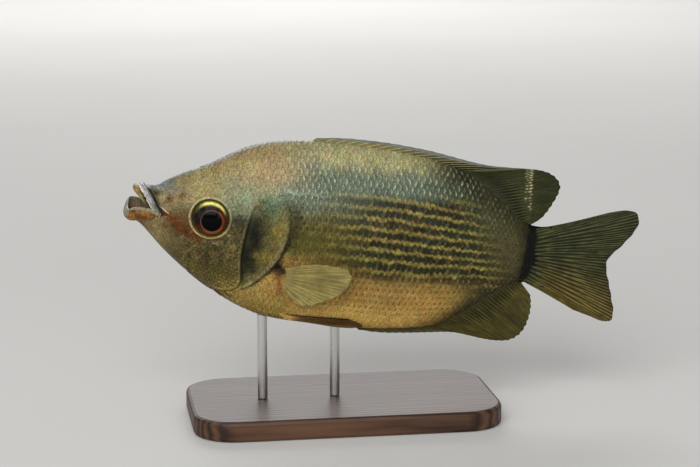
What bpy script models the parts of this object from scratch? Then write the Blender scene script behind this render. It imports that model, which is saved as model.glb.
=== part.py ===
"""A kissing gourami as a still, life-size museum model on a plain display stand.

The fish is built level in its own frame, in millimetres: x runs back from the tip of the lips,
y is across (its left side is -y) and z is up from the body's long axis. It is then pitched
nose-up, as the live fish hangs in the water, and set over the stand, which rests on z = 0.
"""

import math

import bmesh
import bpy
import numpy as np
from mathutils import Matrix, Vector

MM = 0.001

# How the fish is held
PITCH_DEG = 7.0
FIN_CLEARANCE = 17.0
GAP = 0.3
SINK = 2.2

# Body lines: (distance back from the lips, value). Heights are from the body's long axis.
BACK_LINE = [(3.0, 9.6), (6.4, 10.3), (9.5, 10.5), (14.0, 13.1), (20.0, 16.3), (27.0, 19.4), (33.0, 23.0),
             (40.0, 26.7), (47.0, 28.9), (56.0, 30.2), (66.0, 30.7), (80.0, 30.3), (92.0, 29.5), (102.0, 28.4),
             (109.0, 27.0), (116.0, 24.5), (122.0, 21.4), (128.0, 17.0), (134.0, 12.3), (139.0, 9.3), (144.0, 8.8)]
BELLY_LINE = [(3.0, -1.6), (5.0, -2.5), (9.5, -6.4), (13.0, -9.8), (20.7, -16.1), (28.0, -21.3), (35.0, -25.2),
              (42.6, -28.7), (50.0, -30.9), (57.0, -31.8), (71.0, -32.4), (85.0, -32.5), (99.0, -31.6),
              (106.0, -30.6), (112.0, -28.9), (118.0, -25.3), (124.0, -20.8), (129.0, -16.9), (134.0, -13.5),
              (139.0, -11.7), (144.0, -12.2)]
WIDEST_LEVEL = [(3.0, 0.0), (9.0, 1.0), (14.0, 1.6), (27.0, 0.5), (40.0, 0.0), (60.0, 1.5), (90.0, 1.5),
                (120.0, 0.0), (144.0, -1.5)]
HALF_WIDTH = [(3.0, 2.4), (5.0, 3.5), (7.5, 4.2), (10.0, 4.7), (14.0, 5.6), (20.0, 7.4), (27.0, 9.3), (34.0, 10.9),
              (42.0, 12.1), (50.0, 12.8), (60.0, 13.1), (72.0, 12.8), (85.0, 11.9), (98.0, 10.4), (110.0, 8.4),
              (120.0, 6.5), (130.0, 4.7), (139.0, 3.2), (144.0, 2.6)]
# Powers of the section's rounding: under 1 is full and round, over 1 is drawn out to an edge.
BACK_POWER = [(3.0, 0.95), (30.0, 0.92), (50.0, 1.0), (80.0, 1.1), (120.0, 1.15), (144.0, 1.0)]
BELLY_POWER = [(3.0, 0.9), (14.0, 1.0), (40.0, 1.08), (60.0, 1.0), (85.0, 1.05), (110.0, 1.2), (144.0, 1.0)]
BODY_START, BODY_END = 3.0, 142.6
BODY_STATIONS, BODY_AROUND = 44, 34

# Where the body is parted, as (x at the back line, x at the belly line)
HEAD_CUT = (50.0, 44.5)
TAIL_CUT = (122.5, 125.0)
TAIL_END = (142.0, 140.3)

# Mouth: the snout's front face runs from its top to the gape's corner, over the jaw's floor
SNOUT_TOP = (6.6, 10.4)
GAPE_CORNER = (13.8, 0.9)
JAW_FLOOR = (2.0, -0.2)
# The lips, as values at a share of the way from the middle (0) to the mouth's corner (1)
LIP_BAR_X = [(0.0, 4.9), (0.25, 5.1), (0.45, 6.0), (0.65, 7.5), (1.0, 10.7)]
LIP_BAR_Y = [(0.0, 0.0), (0.25, 2.5), (0.45, 4.0), (0.65, 4.8), (1.0, 5.1)]
LIP_BAR_Z = [(0.0, 10.0), (0.25, 9.9), (0.45, 8.9), (0.65, 6.6), (1.0, 1.9)]
LIP_BAR_RADIUS = [(0.0, 0.95), (0.45, 1.05), (0.8, 1.0), (1.0, 0.75)]
LIP_ROLL_X = [(0.0, 3.4), (0.25, 3.5), (0.5, 4.7), (0.75, 6.9), (1.0, 9.4)]
LIP_ROLL_Y = [(0.0, 0.0), (0.25, 2.0), (0.5, 3.5), (0.75, 4.2), (1.0, 4.6)]
LIP_ROLL_Z = [(0.0, 8.6), (0.25, 8.4), (0.5, 7.3), (0.75, 4.9), (1.0, 2.2)]
LIP_ROLL_RADIUS = [(0.0, 1.3), (0.3, 1.15), (0.6, 0.75), (1.0, 0.5)]
LIP_SKIN_SHIFT = (1.9, -0.9, 0.85)
LIP_SKIN_RADIUS = 1.1
JAW_LIP_X = [(0.0, 1.1), (0.2, 1.4), (0.4, 2.7), (0.6, 4.8), (0.8, 7.6), (1.0, 11.2)]
JAW_LIP_Y = [(0.0, 0.0), (0.2, 1.9), (0.4, 3.6), (0.6, 4.5), (0.8, 4.8), (1.0, 4.9)]
JAW_LIP_TOP = [(0.0, 4.7), (0.2, 4.5), (0.4, 3.7), (0.55, 3.1), (0.7, 3.0), (0.85, 2.7), (1.0, 1.4)]
JAW_LIP_BOTTOM = [(0.0, -1.9), (0.3, -1.9), (0.6, -1.4), (0.8, -0.9), (1.0, 0.1)]
JAW_LIP_THICK = [(0.0, 0.8), (0.4, 0.85), (0.8, 0.8), (1.0, 0.6)]
JAW_LIP_BULGE = [(0.0, 1.2), (0.3, 1.0), (0.6, 0.6), (1.0, 0.2)]
# The lower lip's rim stands higher on the right, by this much for each millimetre across.
JAW_LIP_TWIST = 0.24
LIP_POINTS = 17
LIP_BLUNT = 0.75

# Eye and the ring of skin round it
EYE_AT = (28.2, 2.5)
EYE_RADIUS = 6.1
EYE_BULGE = 1.9
EYE_DEPTH = 4.0
ORBIT_RING_RADIUS = 6.45
ORBIT_RING_THICK = 0.7
NOSTRILS = [(13.8, 6.9, 0.7), (18.9, 8.6, 0.9)]

# Gill cover: its hind edge is free, and its front edge follows the cheek bone's edge
COVER_FREE_EDGE = [(44.2, 11.6), (47.4, 13.0), (50.6, 12.2), (53.0, 9.6), (54.3, 6.0), (54.5, 1.8), (54.0, -2.8),
                   (52.8, -7.0), (50.8, -10.8), (48.0, -14.8), (44.6, -18.4), (40.9, -21.3)]
COVER_FRONT_EDGE = [(43.2, 10.2), (42.3, 7.6), (41.6, 4.6), (41.2, 1.4), (40.7, -2.2), (40.2, -6.4), (40.2, -10.6),
                    (40.7, -14.6), (41.0, -17.6), (40.6, -19.6), (39.8, -20.9)]
COVER_THICK = 1.2
COVER_RISE = 0.7
CHEEK_EDGE = [(42.3, 9.4), (41.2, 6.0), (40.4, 2.2), (39.8, -2.0), (39.3, -6.8), (39.4, -11.2), (40.0, -15.6),
              (40.0, -19.0), (38.6, -21.0), (36.4, -22.0), (33.6, -22.4), (30.4, -21.2)]
CHEEK_EDGE_RADIUS = 0.55

# Dorsal fin: its spines are folded back along the body, its soft part is spread
DORSAL_EDGE = [(61.0, 31.5), (66.6, 32.2), (73.5, 32.6), (80.4, 32.6), (87.4, 32.4), (94.4, 31.9), (101.5, 31.2),
               (108.7, 30.1), (115.9, 28.9), (123.2, 28.1), (130.3, 28.1), (137.4, 28.3), (141.5, 28.2),
               (145.0, 27.4), (147.8, 25.6), (149.1, 23.2), (148.8, 20.6), (147.6, 17.6), (146.0, 14.4),
               (144.3, 11.9), (142.9, 10.6)]
DORSAL_SPINES, DORSAL_RAYS = 17, 14
DORSAL_SPINE_ROOTS = (57.0, 107.5)
DORSAL_SPINE_LENGTHS = (5.0, 21.0)
DORSAL_RAY_ROOTS = (110.5, 138.6)
DORSAL_FIRST_RAY_TIP = 135.0

# Anal fin: the same, along the belly
ANAL_EDGE = [(83.5, -33.3), (88.6, -33.7), (94.0, -33.7), (99.1, -33.3), (104.4, -32.8), (109.7, -32.2),
             (114.0, -31.7), (118.5, -31.5), (124.1, -32.2), (129.0, -32.9), (134.0, -33.2), (138.4, -32.6),
             (141.2, -30.9), (143.1, -28.2), (144.1, -25.0), (144.5, -21.4), (144.2, -18.2), (143.6, -15.8)]
ANAL_SPINES, ANAL_RAYS = 14, 17
ANAL_SPINE_ROOTS = (80.5, 104.5)
ANAL_SPINE_LENGTHS = (4.0, 15.0)
ANAL_RAY_ROOTS = (106.5, 138.2)
ANAL_FIRST_RAY_TIP = 123.0

# Tail fin, which fans out from the slanting end of the tail stalk
CAUDAL_EDGE = [(164.0, 13.7), (171.0, 15.9), (176.0, 16.8), (179.0, 15.9), (180.0, 13.4), (179.3, 10.2),
               (177.2, 6.8), (174.2, 3.2), (171.3, 0.4), (170.1, -2.6), (170.9, -6.3), (172.4, -10.4),
               (173.8, -15.0), (174.8, -19.0), (174.6, -22.2), (172.2, -23.2), (166.0, -21.7), (160.0, -20.0)]
CAUDAL_ROOT = [(140.4, 7.2), (138.8, -10.6)]
CAUDAL_RAYS = 16
CAUDAL_BEND = 3.0

# Paired fins: the pectoral stands out from the flank, and the pelvic is folded along the belly
PECTORAL_RAYS = 10
PECTORAL_ROOT = [(54.2, -11.8), (55.0, -18.4)]
PECTORAL_EDGE = [(65.0, -8.9), (71.0, -8.9), (75.6, -9.7), (76.9, -11.8), (76.0, -15.6), (73.2, -19.0),
                 (69.0, -21.6), (65.0, -23.6), (61.6, -24.2), (59.0, -23.2)]
PECTORAL_SPLAY_DEG = 13.0
PELVIC_RAYS = 6
PELVIC_ROOT = [(54.8, -28.9), (57.6, -30.8)]
PELVIC_EDGE = [(79.0, -28.4), (83.0, -29.6), (85.2, -31.0), (82.6, -31.9), (78.0, -32.2), (73.0, -32.0)]
PELVIC_STAND = (0.5, 1.1)

# Thickness of the fins: of the membrane and the rays, and of the fleshy root
MEMBRANE_THICK, RAY_THICK, TIP_THICK = 0.5, 1.0, 0.36
FIN_ROWS = 7

# Stand
BASE_SIZE = (106.0, 58.0, 7.0)
BASE_CORNER, BASE_BEVEL = 14.0, 1.2
BASE_AHEAD = 16.0
ROD_RADIUS = 1.7
ROD_ROOTS = (50.5, 76.0)


def smooth(points):
    """A curve through (x, value) points that adds no bumps between them, as a function of x."""
    x, y = np.array(points, float).T
    step = np.diff(x)
    slope = np.diff(y) / step
    tangent = np.zeros(len(x))
    for i in range(1, len(x) - 1):
        before, after = slope[i - 1], slope[i]
        if before * after > 0:
            near, far = 2 * step[i] + step[i - 1], step[i] + 2 * step[i - 1]
            tangent[i] = (near + far) / (near / before + far / after)
    tangent[0], tangent[-1] = slope[0], slope[-1]

    def value(at):
        at = np.clip(np.asarray(at, float), x[0], x[-1])
        i = np.clip(np.searchsorted(x, at) - 1, 0, len(x) - 2)
        t = (at - x[i]) / step[i]
        return (y[i] * (1 + 2 * t) * (1 - t) ** 2 + step[i] * tangent[i] * t * (1 - t) ** 2
                + y[i + 1] * t * t * (3 - 2 * t) + step[i] * tangent[i + 1] * t * t * (t - 1))

    return value


back_line, belly_line, widest_level = smooth(BACK_LINE), smooth(BELLY_LINE), smooth(WIDEST_LEVEL)
half_width, back_power, belly_power = smooth(HALF_WIDTH), smooth(BACK_POWER), smooth(BELLY_POWER)


def body_point(x, angle, swell=0.0):
    """The point of the body's surface at x, at an angle round from the back. swell moves it outwards."""
    middle = widest_level(x)
    up, out = np.cos(angle), np.sin(angle)
    reach = np.where(up >= 0, back_line(x) + swell - middle, middle - belly_line(x) + swell)
    power = np.where(up >= 0, back_power(x), belly_power(x))
    y = (half_width(x) + swell) * np.sign(out) * np.abs(out) ** power
    return np.stack(np.broadcast_arrays(x, y, middle + reach * up), -1)


def flank(x, z, swell=0.0):
    """How far the flank lies from the middle plane at (x, z)."""
    middle = widest_level(x)
    reach = np.where(z >= middle, back_line(x) - middle, middle - belly_line(x)) + swell
    up = np.clip((z - middle) / reach, -1, 1)
    power = np.where(z >= middle, back_power(x), belly_power(x))
    return (half_width(x) + swell) * np.sqrt(1 - up * up) ** power


def along(points, count=200):
    """A smooth line through a few points, as many points evenly spaced along its length."""
    points = np.array(points, float)
    at = np.concatenate([[0], np.cumsum(np.linalg.norm(np.diff(points, axis=0), axis=1) ** 0.5)])
    tangent = np.gradient(points, at, axis=0)
    fine = np.linspace(0, at[-1], 20 * len(points))
    i = np.clip(np.searchsorted(at, fine) - 1, 0, len(at) - 2)
    step = (at[i + 1] - at[i])[:, None]
    t = (fine - at[i])[:, None] / step
    line = (points[i] * (1 + 2 * t) * (1 - t) ** 2 + step * tangent[i] * t * (1 - t) ** 2
            + points[i + 1] * t * t * (3 - 2 * t) + step * tangent[i + 1] * t * t * (t - 1))
    return spaced(line, np.linspace(0, 1, count))


def spaced(line, shares):
    """The points at these shares of a line's length."""
    length = np.concatenate([[0], np.cumsum(np.linalg.norm(np.diff(line, axis=0), axis=1))])
    return np.stack([np.interp(np.asarray(shares) * length[-1], length, c) for c in line.T], -1)


def add_mesh(name, points, faces):
    """A mesh object in metres from points in millimetres, with its faces pointing out."""
    mesh = bpy.data.meshes.new(name)
    mesh.from_pydata([tuple(p) for p in np.asarray(points) * MM], [], faces)
    work = bmesh.new()
    work.from_mesh(mesh)
    bmesh.ops.recalc_face_normals(work, faces=work.faces)
    work.to_mesh(mesh)
    work.free()
    obj = bpy.data.objects.new(name, mesh)
    bpy.context.scene.collection.objects.link(obj)
    return obj


def loft(name, rings):
    """A closed body through rings of points, with flat ends."""
    count, around = rings.shape[:2]
    faces = [[a * around + b, a * around + (b + 1) % around, (a + 1) * around + (b + 1) % around,
              (a + 1) * around + b] for a in range(count - 1) for b in range(around)]
    faces.append(list(range(around))[::-1])
    faces.append([(count - 1) * around + b for b in range(around)])
    return add_mesh(name, rings.reshape(-1, 3), faces)


def sheet(name, middle, half_thick, across=(0, 1, 0)):
    """A closed thin sheet round a grid of points, with the same triangles on both of its faces."""
    rows, columns = middle.shape[:2]
    offset = half_thick[..., None] * np.array(across, float)
    points = np.concatenate([(middle - offset).reshape(-1, 3), (middle + offset).reshape(-1, 3)])
    second = rows * columns
    faces = []
    for i in range(rows - 1):
        for j in range(columns - 1):
            a, b = i * columns + j, i * columns + j + 1
            c, d = b + columns, a + columns
            for face in ((a, b, c), (a, c, d)):
                faces.append(face)
                faces.append(tuple(second + k for k in reversed(face)))
    rim = ([i for i in range(columns)] + [i * columns + columns - 1 for i in range(1, rows)]
           + [(rows - 1) * columns + j for j in range(columns - 2, -1, -1)]
           + [i * columns for i in range(rows - 2, 0, -1)])
    for a, b in zip(rim, rim[1:] + rim[:1]):
        faces.append((b, a, second + a))
        faces.append((b, second + a, second + b))
    return add_mesh(name, points, faces)


def tube(name, points, radii):
    """A round bar along points in millimetres, thicker and thinner as radii say, as a closed mesh."""
    curve = bpy.data.curves.new(name, "CURVE")
    curve.dimensions = "3D"
    curve.bevel_depth = MM
    curve.bevel_resolution = 2
    curve.use_fill_caps = True
    spline = curve.splines.new("POLY")
    spline.points.add(len(points) - 1)
    for knot, at, radius in zip(spline.points, points, radii):
        knot.co = (*(np.asarray(at) * MM), 1)
        knot.radius = radius
    guide = bpy.data.objects.new(name, curve)
    bpy.context.scene.collection.objects.link(guide)
    bpy.context.view_layer.update()
    mesh = bpy.data.meshes.new_from_object(guide.evaluated_get(bpy.context.evaluated_depsgraph_get()))
    work = bmesh.new()
    work.from_mesh(mesh)
    bmesh.ops.remove_doubles(work, verts=work.verts, dist=1e-6)
    bmesh.ops.recalc_face_normals(work, faces=work.faces)
    work.to_mesh(mesh)
    work.free()
    bpy.data.objects.remove(guide)
    obj = bpy.data.objects.new(name, mesh)
    bpy.context.scene.collection.objects.link(obj)
    return obj


def largest_body(mesh):
    """Keeps only a mesh's largest closed surface."""
    work = bmesh.new()
    work.from_mesh(mesh)
    bmesh.ops.remove_doubles(work, verts=work.verts, dist=2e-7)
    work.faces.ensure_lookup_table()
    seen, shells = set(), []
    for face in work.faces:
        if face in seen:
            continue
        shell, edge = {face}, [face]
        while edge:
            for neighbour in [f for e in edge.pop().edges for f in e.link_faces if f not in shell]:
                shell.add(neighbour)
                edge.append(neighbour)
        seen |= shell
        shells.append(shell)
    keep = max(shells, key=lambda shell: sum(f.calc_area() for f in shell))
    bmesh.ops.delete(work, geom=[f for f in work.faces if f not in keep], context="FACES")
    work.to_mesh(mesh)
    work.free()


def combine(obj, others, operation, solver="EXACT"):
    """Joins others to obj, or cuts them from it, applies that and removes them."""
    group = bpy.data.collections.new("operands")
    bpy.context.scene.collection.children.link(group)
    for other in others:
        for old in list(other.users_collection):
            old.objects.unlink(other)
        group.objects.link(other)
    boolean = obj.modifiers.new(operation.lower(), "BOOLEAN")
    boolean.operand_type = "COLLECTION"
    boolean.collection = group
    boolean.operation = operation
    boolean.solver = solver
    bpy.context.view_layer.update()
    mesh = bpy.data.meshes.new_from_object(obj.evaluated_get(bpy.context.evaluated_depsgraph_get()))
    obj.modifiers.clear()
    obj.data = mesh
    largest_body(mesh)
    for other in others:
        bpy.data.objects.remove(other)
    bpy.data.collections.remove(group)
    return obj


def copy_of(obj):
    twin = bpy.data.objects.new(obj.name + "_copy", obj.data.copy())
    bpy.context.scene.collection.objects.link(twin)
    return twin


def prism(name, outline, half_depth):
    """A block with this (x, z) outline, from -half_depth to half_depth across."""
    ring = np.array([(x, 0, z) for x, z in outline], float)
    across = np.array([0, half_depth, 0])
    return loft(name, np.array([ring - across, ring + across]))


def body(name="body", swell=0.0):
    """The whole body, from the lower jaw to the root of the tail fin, with closer stations at the head."""
    share = np.linspace(0, 1, BODY_STATIONS)
    stations = BODY_START - swell + (BODY_END + 2 * swell - BODY_START) * share ** 1.12
    angles = np.arange(BODY_AROUND) * 2 * math.pi / BODY_AROUND
    return loft(name, np.array([body_point(np.full(BODY_AROUND, x), angles, swell) for x in stations]))


def slab(name, cut, ahead, behind):
    """All of the body between two slanting planes, so far ahead of and behind a cut, as a cutter."""
    lean = (cut[0] - cut[1]) / (back_line(cut[0]) - belly_line(cut[1]))
    top, bottom = 60.0, -60.0
    x_top = cut[0] + lean * (top - back_line(cut[0]))
    x_bottom = cut[1] + lean * (bottom - belly_line(cut[1]))
    return prism(name, [(x_top - ahead, top), (x_top + behind, top), (x_bottom + behind, bottom),
                        (x_bottom - ahead, bottom)], 40)


def surface_frame(x, z, side):
    """A matrix at the flank's surface at (x, z) whose z axis points out of the body there."""
    step = 0.5
    y = flank(x, z)
    out = Vector((-(flank(x + step, z) - flank(x - step, z)) / (2 * step), 1.0,
                  -(flank(x, z + step) - flank(x, z - step)) / (2 * step)))
    out.y *= side
    out.x, out.z = out.x, out.z
    turn = out.normalized().to_track_quat("Z", "Y").to_matrix().to_4x4()
    return Matrix.Translation(Vector((x, side * y, z)) * MM) @ turn


def ball(name, matrix, radius, half_depth, sink, segments=24, rings=12):
    """A flattened ball, set on the surface and sunk along the surface's outward axis."""
    bpy.ops.mesh.primitive_uv_sphere_add(segments=segments, ring_count=rings, radius=MM)
    obj = bpy.context.object
    obj.name = name
    scale = Matrix.Diagonal((radius, radius, half_depth, 1.0))
    obj.data.transform(matrix @ Matrix.Translation((0, 0, -sink * MM)) @ scale)
    return obj


def ring(name, matrix, radius, thick, sink, around, section):
    """A ring lying on the surface."""
    bpy.ops.mesh.primitive_torus_add(major_radius=radius * MM, minor_radius=thick * MM, major_segments=around,
                                     minor_segments=section)
    obj = bpy.context.object
    obj.name = name
    obj.data.transform(matrix @ Matrix.Translation((0, 0, -sink * MM)))
    return obj


def on_flank(points, side, out=0.0):
    """(x, z) points laid on one flank, moved out from it."""
    return [(x, side * (float(flank(x, z)) + out), z) for x, z in points]


def eye(side, swell=0.0):
    name = "eye_left" if side < 0 else "eye_right"
    half_depth = (EYE_BULGE + EYE_DEPTH) / 2
    return ball(name, surface_frame(*EYE_AT, side), EYE_RADIUS + swell, half_depth + swell,
                half_depth - EYE_BULGE)


def widened(line, turn, reach):
    """A line moved sideways by reach, to its left (turn 1) or right (turn -1), and made longer at both ends."""
    heading = np.gradient(line, axis=0)
    heading /= np.linalg.norm(heading, axis=1, keepdims=True)
    moved = line + turn * reach * np.stack([-heading[:, 1], heading[:, 0]], -1)
    moved[0] -= reach * heading[0]
    moved[-1] += reach * heading[-1]
    return moved


def gill_cover(side, swell=0.0):
    """The gill cover's plate, which rises towards its free hind edge. swell makes the pocket's cutter."""
    rows, columns = 19, 7
    front = spaced(along(COVER_FRONT_EDGE), np.linspace(0, 1, rows))
    free = spaced(along(COVER_FREE_EDGE), np.linspace(0, 1, rows))
    if swell:
        front, free = widened(front, -1, 1.3 * swell), widened(free, 1, 1.3 * swell)
    share = np.linspace(0, 1, columns)[None, :, None]
    plan = front[:, None] * (1 - share) + free[:, None] * share
    edge = np.minimum(1, 3 * np.minimum(np.linspace(0, 1, rows), np.linspace(1, 0, rows)))[:, None]
    rise = COVER_RISE * np.broadcast_to(np.linspace(0, 1, columns), (rows, columns)) ** 1.5 * (0.5 + 0.5 * edge)
    thick = COVER_THICK + (4.0 if swell else 0.0)
    inner = rise - COVER_THICK - swell
    y = flank(plan[..., 0], plan[..., 1]) + inner + thick / 2
    middle = np.stack([plan[..., 0], side * y, plan[..., 1]], -1)
    name = "gill_cover_left" if side < 0 else "gill_cover_right"
    return sheet(name, middle, np.full((rows, columns), thick / 2))


def mouth_cutter():
    """All that lies ahead of the snout's front face and over the floor of the lower jaw."""
    far = -12.0
    lean = (GAPE_CORNER[0] - SNOUT_TOP[0]) / (GAPE_CORNER[1] - SNOUT_TOP[1])
    over = 6.0
    outline = [(SNOUT_TOP[0] - lean * -over, SNOUT_TOP[1] + over), GAPE_CORNER, JAW_FLOOR, (far, JAW_FLOOR[1]),
               (far, SNOUT_TOP[1] + over)]
    return prism("mouth", outline, 20)


def throat():
    """The hollow of the mouth, sunk into the snout's front face."""
    frame = Matrix.Translation(Vector((9.6, 0, 3.2)) * MM) @ Matrix.Rotation(math.radians(90), 4, "Y")
    return ball("throat", frame, 2.5, 5.0, 0, 12, 8)


def head_details():
    """The eye rings, cheek edges and nostril rims that are raised on the head."""
    pieces = []
    for side in (-1, 1):
        pieces.append(ring("orbit", surface_frame(*EYE_AT, side), ORBIT_RING_RADIUS, ORBIT_RING_THICK, 0.25, 24, 6))
        line = spaced(along(CHEEK_EDGE), np.linspace(0, 1, 16))
        radii = CHEEK_EDGE_RADIUS * np.sin(np.linspace(0.35, math.pi - 0.35, 16)) ** 0.4
        pieces.append(tube("cheek", on_flank(line, side, 0.05), radii))
        for x, z, radius in NOSTRILS:
            pieces.append(ring("nostril", surface_frame(x, z, side), radius, 0.36, 0.05, 10, 6))
    return pieces


def fish_body():
    """The head, trunk and tail stalk, parted by thin cuts from one body."""
    whole = body()
    cutters = [mouth_cutter(), slab("tail_end", TAIL_END, 0, 30)]
    for side in (-1, 1):
        cutters.append(eye(side, GAP))
        cutters.append(gill_cover(side, GAP))
    rough = combine(whole, cutters[:2], "DIFFERENCE")
    rough = combine(rough, head_details(), "UNION")
    rough = combine(rough, cutters[2:] + [throat()], "DIFFERENCE")
    far = 200
    lengths = {"head": [(HEAD_CUT, 0, far)],
               "trunk": [(HEAD_CUT, far, GAP), (TAIL_CUT, 0, far)],
               "tail_stalk": [(TAIL_CUT, far, GAP)]}
    parts = []
    for name, cuts in lengths.items():
        piece = copy_of(rough)
        piece.name = name
        parts.append(combine(piece, [slab("cut", *cut) for cut in cuts], "DIFFERENCE"))
    bpy.data.objects.remove(rough)
    return parts


def lip_curve(x, y, z, count=LIP_POINTS):
    """A lip's centre line round the mouth from its right corner to its left one, and the share from the middle."""
    turn = np.linspace(-1, 1, count)
    share = np.abs(turn)
    return np.stack([smooth(x)(share), np.sign(turn) * smooth(y)(share), smooth(z)(share)], -1), share


def upper_lip(swell=0.0):
    """The upper lip: its rolled front edge, the bar behind that, and the skin that joins them to the snout."""
    roll, share = lip_curve(LIP_ROLL_X, LIP_ROLL_Y, LIP_ROLL_Z)
    bar, share = lip_curve(LIP_BAR_X, LIP_BAR_Y, LIP_BAR_Z)
    back, down, inward = LIP_SKIN_SHIFT
    skin = bar * (1, inward, 1) + (back, 0, down)
    front = tube("upper_lip", roll, smooth(LIP_ROLL_RADIUS)(share) + swell)
    return combine(front, [tube("bar", bar, smooth(LIP_BAR_RADIUS)(share) + swell),
                           tube("skin", skin, np.full(len(skin), LIP_SKIN_RADIUS + swell))], "UNION")


def lower_lip():
    """The lower lip, a curled wall round the front of the jaw that is tallest in the middle."""
    around = 10
    path, share = lip_curve(JAW_LIP_X, JAW_LIP_Y, [(0.0, 0.0), (1.0, 0.0)], 2 * LIP_POINTS - 9)
    heading = np.gradient(path, axis=0)
    outward = np.stack([heading[:, 1], -heading[:, 0]], -1)
    outward /= np.linalg.norm(outward, axis=1, keepdims=True)
    outward *= np.where(outward[:, :1] > 0, -1, 1)
    twist = JAW_LIP_TWIST * path[:, 1] * (1 - share ** 3)
    top, bottom = smooth(JAW_LIP_TOP)(share) + twist, smooth(JAW_LIP_BOTTOM)(share)
    thick, bulge = smooth(JAW_LIP_THICK)(share), smooth(JAW_LIP_BULGE)(share)
    angle = np.arange(around) * 2 * math.pi / around
    up, side = (np.sign(v) * np.abs(v) ** LIP_BLUNT for v in (np.cos(angle), np.sin(angle)))
    height = (top + bottom)[:, None] / 2 + (top - bottom)[:, None] / 2 * up
    curl = np.where(up > 0, 0.5, 1.0) * up * up
    out = thick[:, None] * side + bulge[:, None] * (0.5 - curl)
    rings = np.stack([path[:, :1] + outward[:, :1] * out, path[:, 1:2] + outward[:, 1:] * out, height], -1)
    return loft("lower_lip", rings)


def between(values):
    """The values with the middle of each two neighbours put between them: a fin's rays and its membranes."""
    values = np.array(values, float)
    return np.interp(np.linspace(0, len(values) - 1, 2 * len(values) - 1), np.arange(len(values)), values)


def fin_plan(roots, edge, shares, rows, notch, lean=0.0):
    """A grid of (x, z) points over a fin: a column for each ray and one between each two, from root to tip.

    roots are the rays' feet, and shares say how far along the edge each ray's tip lies.
    """
    root = np.stack([between(c) for c in np.array(roots).T], -1)
    tip = spaced(edge, between(shares))
    membrane = (np.arange(len(root)) % 2 == 1)[:, None]
    length = np.linalg.norm(tip - root, axis=1, keepdims=True)
    tip = np.where(membrane, tip + (root - tip) / length * np.minimum(notch, 0.3 * length), tip)
    share = np.linspace(0, 1, rows)[None, :, None]
    grid = root[:, None] * (1 - share) + tip[:, None] * share
    normal = np.stack([-(tip - root)[:, 1], (tip - root)[:, 0]], -1)
    bow = lean * np.linspace(1, -1, len(root))[:, None, None]
    return grid + bow * (share * (1 - share)) * normal[:, None]


def ray_thickness(columns, rows, root_thick, root_share, narrowing=0.0):
    """Half thicknesses for a fin's grid: rays stand out of the membrane, and the root is fleshy.

    narrowing thins the fleshy root towards the fin's first and last rays.
    """
    share = np.linspace(0, 1, rows)[None, :]
    ray = (np.arange(columns) % 2 == 0)[:, None]
    blade = np.where(ray, RAY_THICK, MEMBRANE_THICK) * np.ones_like(share)
    blade = blade + (TIP_THICK - blade) * share ** 3
    outer = np.abs(np.linspace(-1, 1, columns))[:, None]
    flesh = root_thick * np.clip(1 - share / root_share, 0, 1) ** 1.3 * (1 - narrowing * outer ** 2)
    return np.maximum(blade, flesh + 0.8 * blade) / 2


def upright_fin(name, plan, sway, root_thick, root_share, narrowing=0.0):
    """A fin in the middle plane, which sways to the side as sway(share across, share out) says."""
    columns, rows = plan.shape[:2]
    across, out = np.meshgrid(np.linspace(0, 1, columns), np.linspace(0, 1, rows), indexing="ij")
    middle = np.stack([plan[..., 0], sway(across, out), plan[..., 1]], -1)
    return sheet(name, middle, ray_thickness(columns, rows, root_thick, root_share, narrowing))


def share_at(edge, x):
    """How far along an edge line it first reaches x."""
    length = np.concatenate([[0], np.cumsum(np.linalg.norm(np.diff(edge, axis=0), axis=1))])
    last = np.argmax(edge[:, 0])
    return np.interp(x, edge[:last + 1, 0], length[:last + 1]) / length[-1]


def crest_fin(name, line, side, edge, spines, rays, spine_roots, spine_lengths, ray_roots, first_tip, sway):
    """A dorsal or anal fin: folded spines along the body's edge line, then a spread soft part."""
    outline = along(edge)
    spine_x = np.linspace(*spine_roots, spines)
    reach = spine_lengths[0] + np.linspace(0, 1, spines) ** 1.2 * (spine_lengths[1] - spine_lengths[0])
    root_x = np.concatenate([spine_x, np.linspace(*ray_roots, rays)])
    slope = (line(root_x + 0.5) - line(root_x - 0.5))
    inward = np.stack([slope, -np.ones(len(root_x))], -1) / np.sqrt(1 + slope ** 2)[:, None]
    roots = np.stack([root_x, line(root_x)], -1) + side * SINK * inward
    shares = np.concatenate([share_at(outline, spine_x + reach),
                             np.linspace(share_at(outline, first_tip), 1, rays)])
    plan = fin_plan(roots, outline, shares, FIN_ROWS, 0.35)
    return upright_fin(name, plan, sway, 1.6, 0.4)


def dorsal_fin():
    def sway(across, out):
        return 0.9 * np.clip(across - 0.55, 0, 1) * out ** 2 * np.sin(across * 9.0)
    return crest_fin("dorsal_fin", back_line, 1, DORSAL_EDGE, DORSAL_SPINES, DORSAL_RAYS, DORSAL_SPINE_ROOTS,
                     DORSAL_SPINE_LENGTHS, DORSAL_RAY_ROOTS, DORSAL_FIRST_RAY_TIP, sway)


def anal_fin():
    def sway(across, out):
        return -0.9 * np.clip(across - 0.5, 0, 1) * out ** 2 * np.sin(across * 8.0)
    return crest_fin("anal_fin", belly_line, -1, ANAL_EDGE, ANAL_SPINES, ANAL_RAYS, ANAL_SPINE_ROOTS,
                     ANAL_SPINE_LENGTHS, ANAL_RAY_ROOTS, ANAL_FIRST_RAY_TIP, sway)


def caudal_fin():
    roots = np.linspace(CAUDAL_ROOT[0], CAUDAL_ROOT[1], CAUDAL_RAYS)
    plan = fin_plan(roots, along(CAUDAL_EDGE), np.linspace(0, 1, CAUDAL_RAYS), FIN_ROWS, 0.3, lean=-0.03)

    def sway(across, out):
        return CAUDAL_BEND * out ** 2 * (0.6 + 0.4 * np.cos(across * math.pi)) + 0.35 * out * np.sin(across * 22.0)
    return upright_fin("caudal_fin", plan, sway, 3.4, 0.35, 0.85)


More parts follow.
